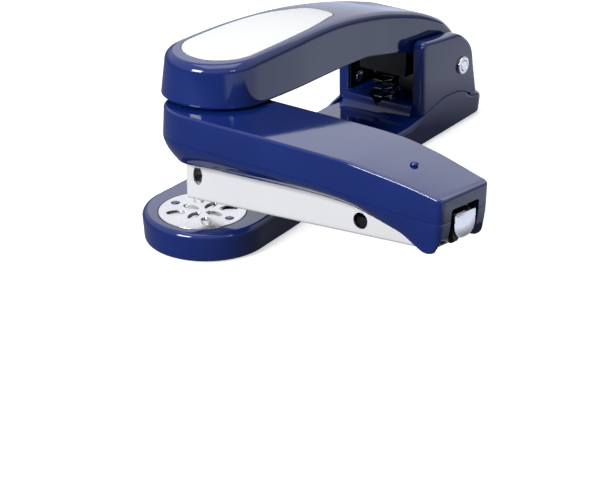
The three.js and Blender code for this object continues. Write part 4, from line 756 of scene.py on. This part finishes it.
# %% Magazine channel
MAGAZINE_HALF, MAGAZINE_FOOT, MAGAZINE_NOSE, EAR_RADIUS, NOSE_ROUND = 7.2, 12.1, -1.4, 4.6, 3
bar = soft_box(-MAGAZINE_HALF, MAGAZINE_FOOT, MAGAZINE_HALF, 28.6, 1.5)
magazine = make("magazine_body", [loft(bar, [(0, MAGAZINE_NOSE), (0, 108.1)], "face")], magazine_pose @ across)
ear = [(HINGE_U + EAR_RADIUS * math.cos(t), HINGE_W + EAR_RADIUS * math.sin(t))
       for t in np.linspace(-0.9, math.pi / 2, 16)]
profile = [(-1.1, MAGAZINE_FOOT), (102, MAGAZINE_FOOT), (104.5, 17.2)] + ear
profile += [(1.6 - NOSE_ROUND * math.sin(t), 24.1 + NOSE_ROUND * math.cos(t)) for t in quarter(8)]
profile += [(MAGAZINE_NOSE, 12.4)]
flat_side = magazine_pose @ side_view
carve(magazine, make("profile", [loft(profile, [(0, -18), (0, 18)], "face")], flat_side), how="INTERSECT")
nose_plan = soft_box(MAGAZINE_NOSE, -MAGAZINE_HALF, 130, MAGAZINE_HALF, 1.2)
carve(magazine, make("nose", [loft(nose_plan, [(0, 0), (0, 40)], "face")], magazine_pose), how="INTERSECT")


def room(u0, u1, w0, w1, half):
    corners = [(u0, w0), (u1, w0), (u1, w1), (u0, w1)]
    return make("room", [loft(corners, [(0, -half), (0, half)], "face")], flat_side)


d_window = [(4.2 + 2.0 * a, 21.3 + 3.5 * min(b, 0.8)) for a, b in circle(0, 0, 1)]
HOLLOW_FRONT, HOLLOW_FLOOR, HOLLOW_HALF = -0.4, 12.7, 6.6
carve(magazine, room(HOLLOW_FRONT, 110, HOLLOW_FLOOR, 26.1, HOLLOW_HALF),
      room(HOLLOW_FRONT, 8, HOLLOW_FLOOR, 30, HOLLOW_HALF), room(70, 112, HOLLOW_FLOOR, 30, HOLLOW_HALF),
      room(HOLLOW_FRONT, 1.3, 10, 13.6, 6.45),
      make("window", [loft(d_window, [(0, -12), (0, 12)], "face")], flat_side),
      make("round_window", [loft(circle(73.9, 17.4, 2.9), [(0, -12), (0, 12)], "face")], flat_side),
      make("hinge_bore", [loft(circle(HINGE_U, HINGE_W, 1.75), [(0, -12), (0, 12)], "face")], flat_side))
round_edges(magazine, 0.12, 50)
fit(shade(magazine), "magazine", "white_plastic", pale_plastic, "magazine_channel")

# %% [markdown]
# The catch at the rear of the magazine is a bright stirrup, bent from one strip. Its
# broad face is round at the foot and a little domed, and its two flanks reach forward
# to a small pin, whose bores aren't cut in this mesh. Pressing its foot outwards frees
# the rail.

# %% Latch stirrup
FACE_SIDE, FACE_FOOT, FACE_TOP, FACE_CURVE = 6.2, 16.9, 25.3, 5.0
face_line = [(FACE_SIDE - FACE_CURVE * (1 - math.sin(t)), FACE_FOOT + FACE_CURVE * (1 - math.cos(t)))
             for t in quarter(12)] + [(FACE_SIDE, FACE_TOP - 0.5), (FACE_SIDE - 0.5, FACE_TOP)]
face_line += [(-v, w) for v, w in face_line[::-1]]
FACE_MIDDLE, FACE_BACK, FACE_DOME, RIM_SHARE = 21.4, 110.6, 0.72, 0.94
LATCH_PIN_U, LATCH_PIN_W, LATCH_EYE = 108.5, 24.2, 1.5
face_rings = [(0.03, FACE_BACK), (0.95, FACE_BACK), (1, 110.68), (1, 110.76)]
face_rings += [(RIM_SHARE + 0.06 * math.cos(t), 110.76 + 0.12 * math.sin(t)) for t in quarter(5)[1:]]
face_rings += [(share, 110.88 + FACE_DOME * (1 - (share / RIM_SHARE) ** 2))
               for share in (0.85, 0.7, 0.5, 0.3, 0.12, 0.03)]
points, faces = [], []
sides = len(face_line)
for share, u in face_rings:
    points += [(v * share, FACE_MIDDLE + (w - FACE_MIDDLE) * share, u) for v, w in face_line]
for k in range(len(face_rings) - 1):
    for i in range(sides):
        j = (i + 1) % sides
        faces.append((k * sides + i, k * sides + j, (k + 1) * sides + j, (k + 1) * sides + i))
faces += [tuple(range(sides)), tuple(range(len(points) - sides, len(points)))]
latch = make("latch_stirrup", [(points, faces)], magazine_pose @ across)
for side in (-1, 1):
    flank = [(LATCH_PIN_U + LATCH_EYE * math.cos(t), LATCH_PIN_W + LATCH_EYE * math.sin(t))
             for t in np.linspace(math.pi * 0.66, math.pi * 1.5, 14)]
    flank += [(111.0, 22.7), (111.0, 25.2), (109.0, 25.2)]
    reach = [(0.15, 5.2), (0, 5.35), (0, 6.05), (0.15, 6.2)]
    reach = [(inset, side * v) for inset, v in reach]
    carve(latch, make("flank", [loft(flank, reach, "face")], flat_side), how="UNION")
fit(shade(latch), "latch", "polished_steel", polished_steel, "rail_latch")

# %% [markdown]
# The rail that guides the staples is an inverted channel of thin sheet. Its flanks rise
# towards the rear, so that they don't hang below the skirt there. Its sides lie right on
# the inner faces of the pusher and the staples, where the frame's rail keeps 0.3 mm
# away, so a change of its width would start with that. The dark block on its end carries
# the stirrup and holds the spring's rod in a narrow tongue.

# %% Rail and its end block
RAIL_FRONT, RAIL_REAR, RAIL_FOOT, RAIL_TOP, RAIL_HALF, RAIL_SHEET = 1.85, 104.95, 12.9, 18.2, 5.8, 0.6
ROD_W, BLOCK_FRONT, BLOCK_REAR, BLOCK_HALF = 15.2, 105.3, 110.3, 6.4
rail_side = [(RAIL_FRONT, RAIL_FOOT), (99.0, RAIL_FOOT), (100.6, 13.3), (102.0, 14.6), (103.2, 16.4),
             (RAIL_REAR, 17.1), (RAIL_REAR, RAIL_TOP), (RAIL_FRONT, RAIL_TOP)]
rail = make("folded_rail", [loft(rail_side, [(0, -RAIL_HALF), (0, RAIL_HALF)], "face")], flat_side)
carve(rail, room(2.85, 110, 10, RAIL_TOP - RAIL_SHEET, RAIL_HALF - RAIL_SHEET), room(51.5, 100, 17, 20, 0.9),
      make("rod_bore", [turned([(0, 0), (0.8, 0), (0.8, 110), (0, 110)], 24)],
           magazine_pose @ Matrix.Translation((0, 0, ROD_W)) @ lying))
fit(shade(rail), "rail", "steel", dark_steel, "staple_rail")
block_side = [(BLOCK_FRONT, 17.3), (108.0, 17.4), (BLOCK_REAR, 17.8), (BLOCK_REAR, 21.7), (BLOCK_FRONT, 21.7)]
block = make("rail_end_block", [loft(block_side, [(0, -BLOCK_HALF), (0, BLOCK_HALF)], "face")], flat_side)
tongue = [(BLOCK_FRONT, 14.1), (106.6, 14.1), (107.4, 15.0), (107.4, 18.5), (BLOCK_FRONT, 18.5)]
carve(block, make("tongue", [loft(tongue, [(0, -1.5), (0, 1.5)], "face")], flat_side), how="UNION")
for v in (-5.2, 3.6):
    lug = [(106.75, 20.5), (110.2, 20.5), (110.2, 24.6), (109.2, 25.6), (107.8, 25.6), (106.75, 24.6)]
    carve(block, make("lug", [loft(lug, [(0, v), (0, v + 1.6)], "face")], flat_side), how="UNION")
round_edges(block, 0.3, 40)
# The end block's near-black finish is partly painted shade under the notch.
fit(shade(block), "rail", "black_plastic", black_plastic, "rail_end")

# %% Springs of the head and the pusher
HEAD_COIL_U, HEAD_COIL_HEIGHT, PUSHER_COIL_U, PUSHER_COIL_LENGTH = 60, 10, 59.6, 45.1
drop = (HINGE_U - HEAD_COIL_U) * math.sin(math.radians(MAGAZINE_DROOP))
spring_foot = 27.1 - drop + 0.3
head_coil = make("head_coil", [wound(radius=3.4, wire=0.4, curls=5.5, height=HEAD_COIL_HEIGHT)],
                 head_pose @ Matrix.Translation((HEAD_COIL_U, 0, spring_foot)))
fit(shade(head_coil, 60), "head", "steel", spring_steel, "head_spring")
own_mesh(head_coil)
rod_place = magazine_pose @ Matrix.Translation((PUSHER_COIL_U, 0, ROD_W)) @ lying
long_coil = make("long_coil", [wound(radius=1.35, wire=0.22, curls=30, height=PUSHER_COIL_LENGTH,
                                     steps=20, sides=8)], rod_place)
fit(shade(long_coil, 60), "rail", "steel", spring_steel, "pusher_spring")
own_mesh(long_coil)

# %% [markdown]
# ## Finishes on the solids that stay
# Plates, screws, the axle, the pusher and other hidden pieces already have their right
# shape in the frame. They keep it and only change their finish.

# %% Finish the frame's own solids
kept = {
    bright_steel: ["base_plate", "base_screw_front_left", "base_screw_front_right", "base_screw_rear_left",
                   "base_screw_rear_right", "swivel_axle", "swivel_washer", "driver_blade", "hinge_stub_left",
                   "hinge_stub_right", "staple_strip", "guide_rod", "latch_pin"],
    dark_steel: ["yoke_frame", "arm_frame", "swivel_clip", "head_frame"],
    black_plastic: ["pivot_sleeve", "pusher"],
    rubber: ["base_pad"],
}
for finish, names in kept.items():
    for name in names:
        solid = nodes[name]
        solid.data.materials.clear()
        solid.data.materials.append(finish)
print("solids that stay:", sum(len(names) for names in kept.values()))

# %% [markdown]
# ## Floor, light and camera
# The photograph shows the stapler on pure white with only a faint shadow under it. The
# floor is matt. Where the camera looks at it, it is pale and adds the light that lifts it
# to white, so that the shadow stays. To everything else it is a dark grey, which throws
# little light up at the object. In glossy surfaces it is dim in front and grows brighter
# towards the back, with a cool tint, as the photograph's reflections do.
# The sky is nearly dark as a lamp. It is white to the camera, and in glossy surfaces it
# is brighter overhead than near the horizon. Four soft lamps light the object. The one at
# the back is left out of matt surfaces, and only draws the bright sheens on gloss.

# %% Floor
def seen_directly(tree, in_gloss):
    path = tree.nodes.new("ShaderNodeLightPath")
    value = path.outputs["Is Camera Ray"]
    for name, share in (("Is Glossy Ray", in_gloss), ("Is Transmission Ray", 1.0)):
        part = tree.nodes.new("ShaderNodeMath")
        part.operation = "MULTIPLY"
        tree.links.new(path.outputs[name], part.inputs[0])
        if isinstance(share, float):
            part.inputs[1].default_value = share
        else:
            tree.links.new(share, part.inputs[1])
        either = tree.nodes.new("ShaderNodeMath")
        either.operation = "MAXIMUM"
        tree.links.new(value, either.inputs[0])
        tree.links.new(part.outputs["Value"], either.inputs[1])
        value = either.outputs["Value"]
    return value


floor_finish, tree, paper, place = new_finish("pale_floor")
in_view = tree.nodes.new("ShaderNodeLightPath").outputs["Is Camera Ray"]
tree.links.new(blended(tree, in_view, (0.15, 0.15, 0.15), (0.9, 0.9, 0.9)), paper.inputs["Base Color"])
paper.inputs["Roughness"].default_value = 0.9
paper.inputs["Specular IOR Level"].default_value = 0.0
# Painted reflection: to glossy rays the floor glows with a cool tint.
tree.links.new(blended(tree, in_view, (0.88, 0.96, 1.2), (1, 1, 1)), paper.inputs["Emission Color"])
FLOOR_HALF, FLOOR_DROP = 1600, 0.05
backwards = tree.nodes.new("ShaderNodeVectorMath")
backwards.operation = "DOT_PRODUCT"
backwards.inputs[1].default_value = (1, 1, 0)
tree.links.new(place.outputs["Object"], backwards.inputs[0])
# Painted reflection ramp: the floor's glow in glossy rays grows from dim in front to bright at the back.
gloss_share = between(tree, backwards.outputs["Value"], 0.16, 1.5, (0.16, 0.24))
glow = between(tree, seen_directly(tree, gloss_share), 0, 0.96, (0, 1.5))
tree.links.new(glow, paper.inputs["Emission Strength"])
reach = [(x * FLOOR_HALF, y * FLOOR_HALF, 0) for x, y in ((-1, -1), (1, -1), (1, 1), (-1, 1))]
floor = make("floor", [(reach, [(0, 1, 2, 3)])], Matrix.Translation((0, 0, -FLOOR_DROP)))
floor.data.materials.append(floor_finish)
floor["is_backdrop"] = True

# %% Pale sky
world = bpy.data.worlds.new("pale_studio")
bpy.context.scene.world = world
world.use_nodes = True
tree = world.node_tree
sky = tree.nodes["Background"]
sky.inputs["Color"].default_value = (1, 1, 1, 1)
place = tree.nodes.new("ShaderNodeTexCoord")
height = tree.nodes.new("ShaderNodeSeparateXYZ")
tree.links.new(place.outputs["Generated"], height.inputs["Vector"])
overhead = between(tree, height.outputs["Z"], 0.2, 0.9, (0.1, 0.4))
strength = between(tree, seen_directly(tree, overhead), 0.04, 1.0, (0, 1))
tree.links.new(strength, sky.inputs["Strength"])

# %% Soft lamps
def soft_lamp(name, place, target, wide, tall, power):
    data = bpy.data.lights.new(name, "AREA")
    data.shape = "RECTANGLE"
    data.size = wide
    data.size_y = tall
    data.energy = power
    lamp = bpy.data.objects.new(name, data)
    lamp.location = place
    lamp.rotation_euler = (Vector(target) - Vector(place)).to_track_quat("-Z", "Y").to_euler()
    bpy.context.scene.collection.objects.link(lamp)
    return lamp


FEET, MIDDLE = (0.03, 0.07, 0), (0.03, 0.07, 0.02)
soft_lamp("top_lamp", (0.0, 0.1, 0.9), FEET, wide=0.7, tall=0.7, power=4.2)
soft_lamp("key_lamp", (-0.13, -0.89, 0.54), MIDDLE, wide=0.4, tall=0.35, power=12.0)
soft_lamp("fill_lamp", (0.97, -0.24, 0.54), MIDDLE, wide=0.16, tall=0.1, power=0.8)
back_lamp = soft_lamp("back_lamp", (-0.45, 1.28, 0.46), MIDDLE, wide=1.15, tall=0.95, power=2.5)
back_lamp.visible_diffuse = False
back_lamp.data.color = (0.94, 0.98, 1.1)

# %% [markdown]
# The camera stands in front of the stapler on its right and looks down at it with a
# long lens. Its three axes were solved from the outlines in the photograph, and they
# are the columns of its matrix.

# %% Camera
LENS, SENSOR, ROLL = 150.54, 36, -0.57
CAMERA_PLACE = (0.4957, -0.6458, 0.3786)
back = Vector((0.5199, -0.7404, 0.4259)).normalized()
right = Vector((0.8184, 0.5746, 0)).normalized()
up = back.cross(right)
roll = math.radians(ROLL)
right, up = right * math.cos(roll) + up * math.sin(roll), up * math.cos(roll) - right * math.sin(roll)
camera_data = bpy.data.cameras.new("photo_camera")
camera_data.sensor_width = SENSOR
camera_data.lens = LENS
camera_data.clip_end = 20
camera = bpy.data.objects.new("photo_camera", camera_data)
camera.matrix_world = Matrix((
    (right.x, up.x, back.x, CAMERA_PLACE[0]),
    (right.y, up.y, back.y, CAMERA_PLACE[1]),
    (right.z, up.z, back.z, CAMERA_PLACE[2]),
    (0, 0, 0, 1),
))
bpy.context.scene.collection.objects.link(camera)
bpy.context.scene.camera = camera
bpy.context.scene.view_settings.view_transform = "Standard"

# %% Sizes and the last check
low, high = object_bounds()
apart = [abs(a - b) for a, b in zip([*low, *high], [*cad_low, *cad_high])]
print("largest difference in mm:", round(max(apart) * 1000, 2))
